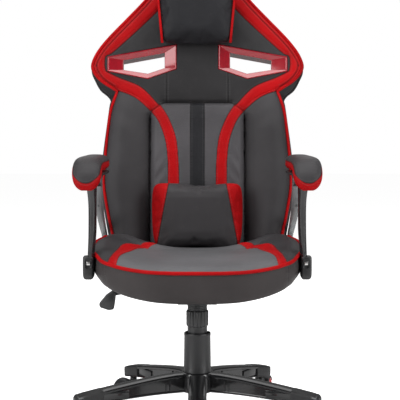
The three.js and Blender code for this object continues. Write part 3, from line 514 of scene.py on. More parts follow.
groups = {
    "leather": leatherGrainGroup(),
    "mould": mouldGrainGroup(),
    "wear": edgeWearGroup(),
    "seam": seamGroup(),
}


def useGroup(tree, key, **given):
    node = tree.nodes.new("ShaderNodeGroup")
    node.node_tree = groups[key]
    for label, value in given.items():
        put(tree, node.inputs[label], value)
    return node.outputs


def startMaterial(name):
    material = bpy.data.materials.new(name)
    material.use_nodes = True
    tree = material.node_tree
    shader = tree.nodes["Principled BSDF"]
    place = tree.nodes.new("ShaderNodeTexCoord").outputs["Object"]
    return material, tree, shader, place


def bumpFrom(tree, height, strength, distance):
    node = tree.nodes.new("ShaderNodeBump")
    node.inputs["Strength"].default_value = strength
    node.inputs["Distance"].default_value = distance
    put(tree, node.inputs["Height"], height)
    return node.outputs[0]


def fieldOf(tree, name):
    node = tree.nodes.new("ShaderNodeAttribute")
    node.attribute_name = name
    return node.outputs["Fac"]


leatherColours = {
    "dark": (0.026, 0.025, 0.026, 1),
    "panel": (0.064, 0.061, 0.065, 1),
    "strip": (0.016, 0.016, 0.018, 1),
    # painted light: the dark leather made lighter to stand in for side light on the bolsters; also the base
    # of the seat, lumbar pillow and arm pads
    "paintedLitDark": (0.040, 0.038, 0.040, 1),
    "skirt": (0.043, 0.038, 0.038, 1),
    "red": (0.335, 0.0005, 0.002, 1),
    "thread": (0.09, 0.085, 0.085, 1),
    "seam": (0.006, 0.005, 0.005, 1),
    "scuff": (0.16, 0.15, 0.15, 1),
    # grey seat panel, partly painted light: its tone is raised to stand in for top light on the seat
    "seatPanelLit": (0.104, 0.104, 0.109, 1),
}


def upholstery(name, layers=(), base="dark", seams=False, roughness=0.42, grain=1.0):
    # layers are (field name, colour) painted over the base where the field is positive
    material, tree, shader, place = startMaterial(name)
    grainOut = useGroup(tree, "leather", Vector=place, Size=grain)
    colour = leatherColours[base]
    redness = 1.0 if base == "red" else 0.0
    for field, key in layers:
        share = rescale(tree, fieldOf(tree, field), -0.5, 0.5)
        colour = blendColour(tree, share, colour, leatherColours[key])
        if key == "red":
            redness = maths(tree, "MAXIMUM", redness, share)
    shade = rescale(tree, grainOut["Drift"], 0.3, 0.7, 0.86, 1.14)
    shadeColour = tree.nodes.new("ShaderNodeCombineColor")
    for socket in shadeColour.inputs[:3]:
        put(tree, socket, shade)
    colour = blendColour(tree, 1.0, colour, shadeColour.outputs[0], "MULTIPLY")
    lighter = blendColour(tree, 0.5, colour, leatherColours["scuff"])
    colour = blendColour(tree, maths(tree, "MULTIPLY", grainOut["Scuff"], 0.10), colour, lighter)
    height = grainOut["Height"]
    if seams:
        seamOut = useGroup(tree, "seam", Gap=fieldOf(tree, "seamGap"), Along=fieldOf(tree, "seamAlong"))
        darkened = maths(tree, "MULTIPLY", seamOut["Line"], 0.82)
        colour = blendColour(tree, darkened, colour, leatherColours["seam"])
        threaded = maths(tree, "MULTIPLY", seamOut["Stitch"], 0.35)
        colour = blendColour(tree, threaded, colour, leatherColours["thread"])
        height = maths(tree, "MULTIPLY_ADD", seamOut["Height"], 2.2, height)
    put(tree, shader.inputs["Base Color"], colour)
    dull = maths(tree, "MULTIPLY_ADD", grainOut["Scuff"], 0.10, roughness)
    put(tree, shader.inputs["Roughness"], maths(tree, "MULTIPLY_ADD", redness, 0.22, dull))
    put(tree, shader.inputs["Normal"], bumpFrom(tree, height, 0.35, 0.0004))
    shader.inputs["Specular IOR Level"].default_value = 0.11
    return material


def plastic(name, colour, roughness=0.4, grain=0.3, coat=0.0, wear=0.4, metallic=0.0):
    material, tree, shader, place = startMaterial(name)
    mould = useGroup(tree, "mould", Vector=place)
    worn = useGroup(tree, "wear", Vector=place, Amount=wear)["Mask"]
    smear = rescale(tree, mould["Smear"], 0.3, 0.7, 0.9, 1.1)
    shade = tree.nodes.new("ShaderNodeCombineColor")
    for socket in shade.inputs[:3]:
        put(tree, socket, smear)
    tint = blendColour(tree, 1.0, colour + (1,), shade.outputs[0], "MULTIPLY")
    pale = tuple(min(1, 0.75 * c + 0.06) for c in colour) + (1,)
    tint = blendColour(tree, worn, tint, pale)
    tint = blendColour(tree, maths(tree, "MULTIPLY", mould["Dust"], 0.012), tint, (0.3, 0.28, 0.26, 1))
    put(tree, shader.inputs["Base Color"], tint)
    dull = rescale(tree, mould["Smear"], 0.3, 0.75, roughness * 0.85, min(1, roughness * 1.2))
    dull = maths(tree, "MULTIPLY_ADD", worn, 0.15, dull)
    put(tree, shader.inputs["Roughness"], maths(tree, "MULTIPLY_ADD", mould["Dust"], 0.06, dull))
    put(tree, shader.inputs["Normal"], bumpFrom(tree, mould["Height"], grain, 0.00025))
    shader.inputs["Metallic"].default_value = metallic
    shader.inputs["Coat Weight"].default_value = coat
    shader.inputs["Coat Roughness"].default_value = 0.08
    return material


def metal(name, colour, roughness=0.25, wear=0.5, streak=(1, 1, 0.1)):
    material, tree, shader, place = startMaterial(name)
    worn = useGroup(tree, "wear", Vector=place, Amount=wear)["Mask"]
    brushed = noiseAt(tree, stretched(tree, place, streak), 900, 3, 0.6)
    stain = noiseAt(tree, place, 28, 5, 0.6)
    tint = blendColour(tree, rescale(tree, stain, 0.35, 0.75, 0.0, 0.35), colour + (1,),
                       tuple(c * 0.7 for c in colour) + (1,))
    tint = blendColour(tree, worn, tint, tuple(min(1, c + 0.2) for c in colour) + (1,))
    put(tree, shader.inputs["Base Color"], tint)
    dull = rescale(tree, brushed, 0.3, 0.7, roughness * 0.75, roughness * 1.35)
    put(tree, shader.inputs["Roughness"], dull)
    put(tree, shader.inputs["Normal"], bumpFrom(tree, brushed, 0.12, 0.0001))
    shader.inputs["Metallic"].default_value = 1.0
    return material


def woodMaterial():
    material, tree, shader, place = startMaterial("plywood")
    rings = noiseAt(tree, stretched(tree, place, (1, 8, 1)), 30, 5, 0.6)
    grain = rescale(tree, rings, 0.3, 0.7)
    colour = blendColour(tree, grain, (0.022, 0.019, 0.017, 1), (0.034, 0.029, 0.025, 1))
    put(tree, shader.inputs["Base Color"], colour)
    put(tree, shader.inputs["Roughness"], rescale(tree, rings, 0.3, 0.7, 0.6, 0.8))
    put(tree, shader.inputs["Normal"], bumpFrom(tree, rings, 0.2, 0.0003))
    return material


def floorMaterial():
    material, tree, shader, place = startMaterial("paleFloor")
    cloud = noiseAt(tree, place, 1.5, 4)
    pale = studio["floorColour"]
    colour = blendColour(tree, rescale(tree, cloud, 0.3, 0.7, 0.0, 0.04), pale, (0.8, 0.8, 0.8, 1))
    put(tree, shader.inputs["Base Color"], colour)
    shader.inputs["Roughness"].default_value = 0.75
    shader.inputs["Specular IOR Level"].default_value = 0.1
    seen = tree.nodes.new("ShaderNodeLightPath").outputs["Is Camera Ray"]
    shader.inputs["Emission Color"].default_value = (1, 1, 1, 1)
    put(tree, shader.inputs["Emission Strength"], maths(tree, "MULTIPLY", seen, studio["floorGlow"]))
    return material


floor = buildStudio()
floor.data.materials.append(floorMaterial())
print("studio ready")

backLeather = upholstery(
    "backLeather",
    [("litWingField", "paintedLitDark"), ("panelField", "panel"), ("stripField", "strip"), ("redField", "red")],
    seams=True,
)
seatLeather = upholstery(
    "seatLeather",
    [("panelField", "seatPanelLit"), ("skirtField", "skirt"), ("redField", "red")],
    base="paintedLitDark", seams=True,
)
# painted light: the lumbar pillow is given the lighter leather to stand in for light falling on it
litLumbarLeather = upholstery("litLumbarLeather", [("redField", "red")], base="paintedLitDark", seams=True, roughness=0.45)
# painted shade: the head pillow is given the darker strip leather to stand in for less top light on it
shadedHeadLeather = upholstery("shadedHeadLeather", base="strip", seams=True, roughness=0.42)
darkLeather = upholstery("darkLeather", roughness=0.45)
redPiping = upholstery("redPiping", base="red", roughness=0.45, grain=1.6)
blackBase = plastic("blackBase", (0.007, 0.007, 0.008), 0.2, 0.06, 0.4, 0.12)
casterBlack = plastic("casterBlack", (0.016, 0.016, 0.017), 0.34, 0.25)
armBlack = plastic("armBlack", (0.014, 0.014, 0.015), 0.38, 0.35)
armGloss = plastic("armGloss", (0.007, 0.007, 0.008), 0.17, 0.06, 0.5, 0.12)
knobBlack = plastic("knobBlack", (0.02, 0.02, 0.021), 0.34, 0.3)
coverBlack = plastic("coverBlack", (0.016, 0.016, 0.017), 0.38, 0.25)
valveRed = plastic("valveRed", (0.45, 0.02, 0.02), 0.35, 0.2)
wheelRed = plastic("wheelRed", (0.50, 0.004, 0.012), 0.28, 0.1, 0.4)
trimRed = plastic("trimRed", (0.27, 0.002, 0.010), 0.14, 0.05, 1.0, 0.1, 0.1)
blackSteel = plastic("blackSteel", (0.022, 0.022, 0.023), 0.42, 0.3, 0.0, 0.1)
brightSteel = metal("brightSteel", (0.72, 0.72, 0.74), 0.16)
pinSteel = metal("pinSteel", (0.62, 0.61, 0.60), 0.28)
rearLeather = upholstery("rearLeather", seams=True, roughness=0.46)
armLeather = upholstery("armLeather", [("redField", "red")], base="paintedLitDark", seams=True, roughness=0.36)
armSatin = plastic("armSatin", (0.17, 0.18, 0.185), 0.32, 0.12, 0.3, 0.2)
tipBlack = plastic("tipBlack", (0.013, 0.013, 0.014), 0.5, 0.6)
plywood = woodMaterial()
print("materials ready")

# the backrest: x across, d to the rear, v up the back, all in millimetres

back = {
    "lean": 9.65,
    "topHeight": 785,
    "bottomHeight": -40,
    "foamRear": 45,
    "wallRear": 56.5,
    "edgeRound": 15,
    "wingRise": 23,
    "columns": 200,
    "rows": 250,
    # widest line of the back, bottom to top: height, half width
    "outline": [
        (-40, 236), (29, 249), (93, 261), (177, 273), (257, 269), (357, 257), (410, 250), (425, 247),
        (440, 256), (458, 277), (482, 291), (513, 303), (544, 294), (575, 274), (609, 245), (655, 201),
        (715, 146), (770, 112), (785, 100),
    ],
    # the welt's line on the front, inside that line where the side wall shows
    "weltLine": [
        (-40, 224), (29, 238), (93, 252), (177, 265), (257, 261), (340, 253), (385, 247), (415, 238),
        (443, 229), (456, 248), (470, 270), (488, 289), (513, 301), (544, 292), (575, 272), (609, 243),
        (655, 199), (715, 144), (768, 110), (783, 98),
    ],
    "panelHalf": 134,
    "panelTop": 409,
    "stripHalf": 20,
    "frontReach": 19.0,
}

backLean = math.radians(back["lean"])
leanSin, leanCos = math.sin(backLean), math.cos(backLean)
cushionHigh = nodeBox("back_cushion")[1]
backOriginZ = cushionHigh[2] - back["topHeight"] * leanCos
backOriginY = cushionHigh[1] - back["topHeight"] * leanSin - back["foamRear"] * leanCos


def fromBack(x, d, v):
    x, d, v = np.broadcast_arrays(x, d, v)
    return np.stack([x, backOriginY + v * leanSin + d * leanCos, backOriginZ + v * leanCos - d * leanSin], -1)


def toBack(points):
    y, z = points[..., 1] - backOriginY, points[..., 2] - backOriginZ
    return points[..., 0], y * leanCos - z * leanSin, y * leanSin + z * leanCos


def sideLine(points, steps=5):
    return flowing([(half, height) for height, half in points], steps)


def bothSides(line):
    return np.vstack([line, (line * (-1, 1))[::-1]])


def nearestSeam(place, lines):
    # distance to the nearest line and the length walked along it
    gap, along = np.full(len(place), noSeam), np.zeros(len(place))
    for line in lines:
        near, walked = nearestOn(place, line)
        closer = near < gap
        gap[closer], along[closer] = near[closer], walked[closer]
    return gap, along


noSeam = 99.0
backNormal = (fromBack(0, 1, 0) - fromBack(0, 0, 0)).ravel()
outlineRight = sideLine(back["outline"])
weltRight = np.vstack([sideLine(back["weltLine"][:9]), sideLine(back["weltLine"][9:])])
backOutline = bothSides(outlineRight)
weltOutline = bothSides(weltRight)

# seams and coloured panels of the right half, as (x, v)
bandLower = flowing([(132.7, 385.6), (177, 422.6), (228.5, 445)], 6)
bandInner = np.vstack([
    flowing([(107, 403), (114.7, 407.5), (140, 436), (170, 460), (225.5, 482.5), (262.8, 501.6)], 5),
    flowing([(266, 520), (262, 545), (235, 562), (118.6, 672.9), (85, 725), (75, 757)], 5),
    [(0, 760), (-30, 760)],
])
bandOutline = np.vstack([
    bandLower, [(330, 445), (330, 830), (-30, 830)], bandInner[::-1],
])
stripeInner = flowing([(52, 120), (52, 180), (54, 242), (61, 307), (81, 362), (103, 399), (110, 406)], 5)
stripeOuter = flowing([(83, 120), (83, 180), (84, 242), (91, 300), (110, 353), (132, 385)], 5)
stripeOutline = np.vstack([stripeInner, stripeOuter[::-1]])
panelOutline = np.array([
    (-40, -60), (back["panelHalf"], -60), (back["panelHalf"], 374), (131, 386), (107, 403),
    (96, back["panelTop"]), (-40, back["panelTop"]),
])
shoulderOutline = np.vstack([[(-40, 411), (96, 411)], bandInner])
wingOutline = np.vstack([
    [(135, -60), (135, 372)], bandLower, [(262, 430), (270, 400), (280, 300), (290, 170), (262, -60)],
])
weltSeam = weltRight[weltRight[:, 1] > 452]
innerWelt = np.array(
    [(x - 13, v) for x, v in weltSeam if v < 520]
    + [(x - 9, v - 10) for x, v in weltSeam if v >= 520]
)
stripEdge = np.array([(back["stripHalf"], -40), (back["stripHalf"], back["panelTop"])])
pocketSeams = [np.array([(88, 411), (88, 500)]), np.array([(0, 582), (59, 582)])]


def puff(distance, height, reach):
    share = np.clip(distance / reach, 0, 1)
    return height * (1 - (1 - share) ** 2)


def backFront(x, v):
    # depth of the padded front, negative towards the sitter
    side = np.abs(x)
    place = np.stack([side, v], 1)
    half = np.interp(v, weltRight[:, 1], weltRight[:, 0])
    depth = np.zeros(len(side))
    depth -= puff(insideDistance(place, panelOutline), 9, 55)
    depth -= puff(insideDistance(place, shoulderOutline), 6, 45)
    band = insideDistance(place, bandOutline)
    depth -= puff(band, 4.5, 15)
    paintedLitDark = insideDistance(place, wingOutline)
    depth -= puff(paintedLitDark, 7, 30)
    lower = 1 - ramp(v, 330, 445)
    share = np.clip((side - back["panelHalf"]) / (half - back["panelHalf"]), 0, 1)
    swell = back["wingRise"] * (0.25 + 0.75 * lower) * np.sin(math.pi * share ** 1.55)
    depth -= swell * (side > back["panelHalf"]) * (paintedLitDark > -4)
    groove = nearestOn(place, panelOutline[1:4])[0]
    drawn = 13 * np.exp(-(groove / 7) ** 2) + 8 * np.exp(-(groove / 24) ** 2) * (side > back["panelHalf"])
    depth += drawn * (1 - ramp(v, 350, 405))
    topGroove = nearestOn(place, np.array([(0, 410), (96, 410)]))[0]
    depth += 8 * np.exp(-(topGroove / 5) ** 2)
    seam = nearestOn(place, innerWelt)[0]
    depth += 1.6 * np.exp(-(seam / 3.0) ** 2)
    for line in (stripeInner, stripeOuter):
        depth += 0.8 * np.exp(-(nearestOn(place, line)[0] / 2.6) ** 2)
    strip = nearestOn(place, stripEdge)[0]
    depth += 0.7 * np.exp(-(strip / 2.4) ** 2)
    for line in pocketSeams:
        depth += 1.0 * np.exp(-(nearestOn(place, line)[0] / 3.2) ** 2)
    # folds where the panel is drawn in at its lower corners and over the waist of the wings
    fold = np.exp(-((side - 112) / 26) ** 2 - ((v - 205) / 60) ** 2)
    depth += 1.5 * fold * np.sin((v + 1.3 * side) / 7.5)
    waist = np.exp(-((v - 395) / 60) ** 2) * ramp(side, 140, 190)
    depth += 0.9 * waist * np.sin((v - 0.6 * side) / 9.0)
    slack = np.sin(v / 37 + side / 61) * np.sin(side / 29 + v / 83)
    depth += 0.7 * slack * ramp(np.minimum(paintedLitDark, 40), 5, 40)
    return depth


def backDepth(x, v):
    rim = insideDistance(np.stack([x, v], 1), weltOutline)
    roundness = back["edgeRound"]
    share = np.clip(rim / roundness, 0, 1)
    depth = backFront(x, v) + roundness * (1 - np.sqrt(1 - (1 - share) ** 2))
    return np.where(rim < 0, np.minimum(depth + 1.15 * -rim, back["foamRear"] - 3), depth)


def gridShell(name, depthAt, wallDepths, columns, rows):
    # front skin between the outlines, side wall stepped back through wallDepths, flat rear
    across = np.linspace(-1, 1, columns + 1)
    across = across * (1.3 - 0.3 * across ** 2)
    up = np.linspace(0, 1, rows + 1)
    tall = back["topHeight"] - back["bottomHeight"]
    up = back["bottomHeight"] + tall * (up + 0.02 * np.sin(2 * math.pi * up))
    half = np.interp(up, outlineRight[:, 1], outlineRight[:, 0])
    x = (half[:, None] * across[None, :]).ravel()
    v = np.repeat(up, columns + 1)
    points = [fromBack(x, depthAt(x, v), v)]
    index = np.arange((columns + 1) * (rows + 1)).reshape(rows + 1, columns + 1)
    faces = [tuple(map(int, (index[i, j], index[i, j + 1], index[i + 1, j + 1], index[i + 1, j])))
             for i in range(rows) for j in range(columns)]
    rim = np.concatenate([index[0, :-1], index[:-1, -1], index[-1, :0:-1], index[:0:-1, 0]])
    before = rim
    rimX, rimV = x[rim], v[rim]
    total = len(x)
    middle = 0.5 * (back["topHeight"] + back["bottomHeight"])
    for depth, inset in wallDepths:
        ringX = rimX * (1 - inset / 250)
        ringV = middle + (rimV - middle) * (1 - inset / 410)
        points.append(fromBack(ringX, depth, ringV))
        ring = total + np.arange(len(rim))
        total += len(rim)
        count = len(rim)
        faces += [(int(before[j]), int(before[(j + 1) % count]), int(ring[(j + 1) % count]), int(ring[j]))
                  for j in range(count)]
        before = ring
    faces.append(tuple(int(j) for j in before[::-1]))
    return faceOutwards(newPiece(name, np.vstack(points), faces))


trim = {
    "frontPlan": [(59, 579), (258, 543), (258, 500), (142, 477), (59, 506)],
    "openingPlan": [(94, 555), (212, 533), (212, 505.5), (142, 494.5), (94, 511)],
    "wall": 5.0,
    "proud": 4.5,
    "throatDepth": 3.0,
    "flange": 12.0,
    "flangeFront": 67.4,
    "flangeRear": 70.8,
}


def grownPlan(plan, grow, side=1):
    # each side of the outline moved outwards
    plan = np.array(plan, float)
    middle = plan.mean(0)
    grown = []
    for i in range(len(plan)):
        before, here, after = plan[i - 1], plan[i], plan[(i + 1) % len(plan)]
        normals = []
        for a, b in ((before, here), (here, after)):
            normal = np.array([(b - a)[1], -(b - a)[0]])
            normal /= np.linalg.norm(normal)
            normals.append(normal if normal @ (0.5 * (a + b) - middle) > 0 else -normal)
        corner = normals[0] + normals[1]
        grown.append(here + corner * 2 * grow / (corner @ corner))
    return np.array(grown) * (side, 1)


def holeCutters(plan, grow, low, high):
    cutters = []
    for side in (-1, 1):
        outline = grownPlan(plan, grow, side)
        cutters.append(prism("cutter", outline, low, high, lambda a, b, d: fromBack(a, d, b)))
    return cutters


def paintBack(piece):
    x, d, v = toBack(meshPoints(piece))
    place = np.stack([np.abs(x), v], 1)
    facing = back["frontReach"] - d
    band = insideDistance(place, bandOutline)
    belt = insideDistance(np.stack([x, v], 1), weltOutline)
    red = np.minimum(np.minimum(band, belt + 1.5), facing)
    stripe = np.minimum(insideDistance(place, stripeOutline), facing)
    writeField(piece, "redField", np.maximum(red, stripe))
    writeField(piece, "panelField", np.minimum(insideDistance(place, panelOutline), facing))
    # painted light: the bolsters are painted lighter where side light would brighten them
    writeField(piece, "litWingField", np.minimum(insideDistance(place, wingOutline) + 3, facing))
    strip = np.minimum(back["stripHalf"] - np.abs(x), np.minimum(back["panelTop"] - v, facing))
    writeField(piece, "stripField", strip)
    gap, along = nearestSeam(place, [
        bandInner[:-1], bandLower, innerWelt, stripeInner, stripeOuter, panelOutline[1:6],
        stripEdge, *pocketSeams,
    ])
    gap[d > back["frontReach"]] = noSeam
    writeField(piece, "seamGap", gap)
    writeField(piece, "seamAlong", along)


def buildBack():
    wall = [
        (back["foamRear"], 0), (back["wallRear"], 0.8), (back["wallRear"], 3.4), (back["foamRear"], 3.4),
    ]
    cushion = gridShell("back_upholstery", backDepth, wall, columns=back["columns"], rows=back["rows"])
    cutBy(cushion, holeCutters(trim["frontPlan"], 0.4, -80, 70))
    paintBack(cushion)
    settle(cushion, "back_cushion", backLeather, 50)
    path = weltOutline[weltOutline[:, 1] > -10]
    inner = path - np.sign(path[:, :1]) * (3.0, 0.0)
    depth = backDepth(inner[:, 0], inner[:, 1])
    route = fromBack(path[:, 0], depth - 1.0, path[:, 1])
    welt = tube("back_welt", route, 4.4, backNormal, sides=12)
    settle(welt, [], redPiping, body="seat_unit")


def buildRearPad():
    pad = {"thickLow": 12.0, "thickTop": 7.4, "front": 57.6, "round": 9}
    rearSeams = [
        np.array([(0, 411), (246, 411)]),
        np.array([(120, -40), (120, 411)]),
        flowing([(120, 411), (60, 470), (52, 600), (60, 785)], 5),
    ]

    def rearDepth(x, v):
        place = np.stack([np.abs(x), v], 1)
        share = np.clip(v / back["topHeight"], 0, 1)
        face = pad["front"] + pad["thickLow"] + (pad["thickTop"] - pad["thickLow"]) * share
        rim = np.clip(insideDistance(np.stack([x, v], 1), backOutline) / pad["round"], 0, 1)
        depth = face - pad["round"] * (1 - np.sqrt(1 - (1 - rim) ** 2))
        for line in rearSeams:
            gap = nearestOn(place, line)[0]
            depth = depth - 1.6 * np.exp(-(gap / 4.0) ** 2) + 0.8 * np.exp(-((gap - 14) / 12) ** 2)
        return depth

    wall = [(pad["front"], 0.6), (pad["front"], 8)]
    piece = gridShell("back_rear_cover", rearDepth, wall, columns=110, rows=150)
    cutBy(piece, holeCutters(trim["openingPlan"], trim["wall"] + 0.4, 40, 95))
    x, d, v = toBack(meshPoints(piece))
    place = np.stack([np.abs(x), v], 1)
    gap, along = nearestSeam(place, rearSeams)
    gap[d < 60] = noSeam
    writeField(piece, "seamGap", gap)
    writeField(piece, "seamAlong", along)
    settle(piece, "back_rear_pad", rearLeather, 50)
    inset = np.sign(backOutline[:, :1]) * (-1.5, 0.0)
    path = (backOutline - inset)[backOutline[:, 1] > -30]
    route = fromBack(path[:, 0], 58.5, path[:, 1])
    welt = tube("back_rear_welt", route, 4.2, backNormal, sides=10)
    settle(welt, [], darkLeather, body="seat_unit")


def buildTrims():
    front, opening = trim["frontPlan"], trim["openingPlan"]
    proud, throat, flange = trim["proud"], trim["throatDepth"], trim["flange"]
    # each ring is a plan, how far it is grown, and its depth
    profile = [
        (front, 0, 40), (front, 0, -3.2), (front, -1.2, -proud - 0.7), (front, -3.2, -proud - 0.4),
        (front, -4.4, -3.6), (opening, 1.2, throat - 1), (opening, 0, throat + 0.4),
        (opening, 0, throat + 5), (opening, 3.4, throat + 6), (opening, 3.4, 69),
        (opening, 4.6, trim["flangeRear"]), (opening, flange, trim["flangeRear"]),
        (opening, flange + 0.8, 69.6), (opening, flange, trim["flangeFront"]),
        (opening, trim["wall"], trim["flangeFront"]), (opening, trim["wall"], 40),
    ]
    for side, name in ((-1, "left"), (1, "right")):
        rings = [[fromBack(x, d, v) for x, v in grownPlan(plan, grow, side)] for plan, grow, d in profile]
        piece = lofted(f"trim_ring_{name}", rings, loop=True)
        softened(piece, 0.7, 2, 18)
        settle(piece, f"harness_trim_{name}", trimRed, 30)


def roundBox(count, power):
    turn = np.linspace(0, 2 * math.pi, count, endpoint=False)
    wave = np.stack([np.cos(turn), np.sin(turn)], 1)
    return np.sign(wave) * np.abs(wave) ** power


def inflate(piece, voxel, pressure, cap):
    # remesh, blow up as cloth, hold the movement to a cap, then smooth once
    useModifier(piece, "REMESH", mode="VOXEL", voxel_size=voxel * mm)
    rest = meshPoints(piece)
    choose(piece)
    cloth = piece.modifiers.new("cloth", "CLOTH")
    cloth.settings.use_pressure = True
    cloth.settings.uniform_pressure_force = pressure
    cloth.settings.effector_weights.gravity = 0
    cloth.settings.quality = 4
    cloth.settings.tension_stiffness = 12
    cloth.settings.compression_stiffness = 12
    cloth.point_cache.frame_start = 1
    cloth.point_cache.frame_end = 20
    for step in range(1, 21):
        scene.frame_set(step)
    bpy.ops.object.modifier_apply(modifier="cloth")
    scene.frame_set(1)
    moved = meshPoints(piece) - rest
    length = np.linalg.norm(moved, axis=1)[:, None]
    setMeshPoints(piece, rest + moved * np.minimum(1, cap / np.maximum(length, 1e-6)))
    subdivided(piece, 1)
    return piece


def pillowForm(name, plan, layers, middleV):
    # plan is an outline of (x, v) about its middle; layers are (share, d)
    rings = []
    for share, d in layers:
        rings.append([fromBack(x * share, d, middleV + v * share) for x, v in plan])
    return lofted(name, rings)


def frontOf(points, x, v, reach=7.0):
    # foremost depth of a piece's skin near (x, v)
    near = (np.abs(points[0] - x) < reach) & (np.abs(points[2] - v) < reach)
    return points[1][near].min() if near.any() else 0.0


def buildHeadPillow():
    pillow = {
        "bottom": 568, "top": 738, "halfTop": 119, "halfBottom": 103, "front": -58, "rear": -9,
        "leftward": 3, "seamInset": 7, "weltRadius": 3.6,
    }
    tall = pillow["top"] - pillow["bottom"]
    flare = pillow["halfTop"] - pillow["halfBottom"]
    middle = 0.5 * (pillow["bottom"] + pillow["top"])
    rise = 0.5 * tall - 6
    plan = []
    for a, b in roundBox(64, 0.2):
        half = pillow["halfBottom"] + flare * 0.5 * (1 + b)
        plan.append(((half - 5) * a - pillow["leftward"], rise * b))
    depth = pillow["rear"] - pillow["front"]
    layers = [(0.5, pillow["rear"]), (0.93, pillow["rear"] - 0.5), (1.0, pillow["rear"] - 0.25 * depth),
              (1.0, pillow["rear"] - 0.6 * depth), (0.95, pillow["front"] + 3), (0.5, pillow["front"] - 3)]
    piece = pillowForm("head_cushion", plan, layers, middle)
    inflate(piece, 5, 4, 9)
    x, d, v = toBack(meshPoints(piece))

    def halfAt(height):
        return pillow["halfBottom"] + flare * (height - pillow["bottom"]) / tall

    def seamGap(depths):
        # the seam is on the front only
        return np.abs(edge) + 60 * (depths > pillow["rear"] - 12)

    edge = halfAt(v) - pillow["seamInset"] - np.abs(x + pillow["leftward"])
    d = d + 3.0 * np.exp(-(seamGap(d) / 5) ** 2)
    low = ramp(v, pillow["bottom"] + 40, pillow["bottom"])
    d = d + 6 * low * (d < -30)
    setMeshPoints(piece, fromBack(x, d, v))
    writeField(piece, "seamGap", seamGap(d))
    writeField(piece, "seamAlong", v)
    settle(piece, "head_pillow", shadedHeadLeather, 60)
    skin = (x, d, v)
    for side, name in ((-1, "left"), (1, "right")):
        route = []
        for height in np.linspace(pillow["bottom"] + 7, pillow["top"] - 8, 26):
            place = side * (halfAt(height) - pillow["seamInset"]) - pillow["leftward"]
            route.append((place, frontOf(skin, place, height) + 1.2, height))
        route = np.array(route)
        route[:, 1] = np.convolve(np.pad(route[:, 1], 2, "edge"), np.ones(5) / 5, "valid")
        line = fromBack(route[:, 0], route[:, 1], route[:, 2])
        welt = tube(f"head_cushion_welt_{name}", line, pillow["weltRadius"], backNormal, sides=10)
        settle(welt, [], redPiping, body="seat_unit")


def buildLumbarPillow():
    pillow = {
        "bottom": -18, "top": 181, "half": 132, "front": -64, "rear": -12,
        "stripeTop": 78, "stripeBottom": 108,
    }
    middle = 0.5 * (pillow["bottom"] + pillow["top"])
    rise = 0.5 * (pillow["top"] - pillow["bottom"]) - 5
    plan = [((pillow["half"] - 4 + 7 * min(b, 0) * -b) * a, rise * b) for a, b in roundBox(64, 0.2)]
    depth = pillow["rear"] - pillow["front"]
    layers = [(0.5, pillow["rear"]), (0.94, pillow["rear"] - 0.5), (1.0, pillow["rear"] - 0.3 * depth),
              (1.0, pillow["rear"] - 0.6 * depth), (0.95, pillow["front"] + 4), (0.5, pillow["front"] - 4)]
    piece = pillowForm("lumbar_cushion", plan, layers, middle)
    inflate(piece, 5, 4, 10)
    x, d, v = toBack(meshPoints(piece))
    side = np.abs(x)
    spread = pillow["stripeBottom"] - pillow["stripeTop"]
    stripe = pillow["stripeTop"] + spread * (pillow["top"] - v) / (pillow["top"] - 20)
    gap = np.abs(side - stripe)
    front = d < pillow["rear"] - 14
    d = d + np.where(front, 2.2 * np.exp(-(gap / 4) ** 2), 0)
    corner = np.exp(-((side - 95) / 22) ** 2 - ((v - 40) / 35) ** 2)
    d = d + np.where(front, 1.1 * np.sin((v + 0.5 * side) / 9) * corner, 0)
    setMeshPoints(piece, fromBack(x, d, v))
    writeField(piece, "redField", np.minimum(side - stripe, pillow["rear"] - 4 - d))
    writeField(piece, "seamGap", np.where(front, gap, noSeam))
    writeField(piece, "seamAlong", v)
    settle(piece, "lumbar_pillow", litLumbarLeather, 60)


# the seat: x across, y to the rear, z up

seat = {
    "half": 270,
    "depth": 425,
    "front": -285,
    "crown": 63,
    "rimFront": 47.4,
    "rimSide": 93.4,
    "skirtDrop": 31,
    # half plan: share of the half width, share of the depth from the front
    "plan": [
        (0.22, 0), (0.51, 0.035), (0.82, 0.15), (0.935, 0.32), (1, 0.5), (0.985, 0.72), (0.93, 0.92),
        (0.78, 1),
    ],
    "stripeInner": [
        (199, -238), (192, -175), (173, -110), (151, -5), (134, 40), (118, 80), (108, 130),
    ],
    "stripeOuter": [
        (224, -232), (207, -134), (200, -60), (188, -5), (169, 36), (150, 69), (130, 100), (108, 130),
    ],
    "skirtSeam": 225,
    "skirtSeamRear": -120,
    "outlinePoints": 240,
}


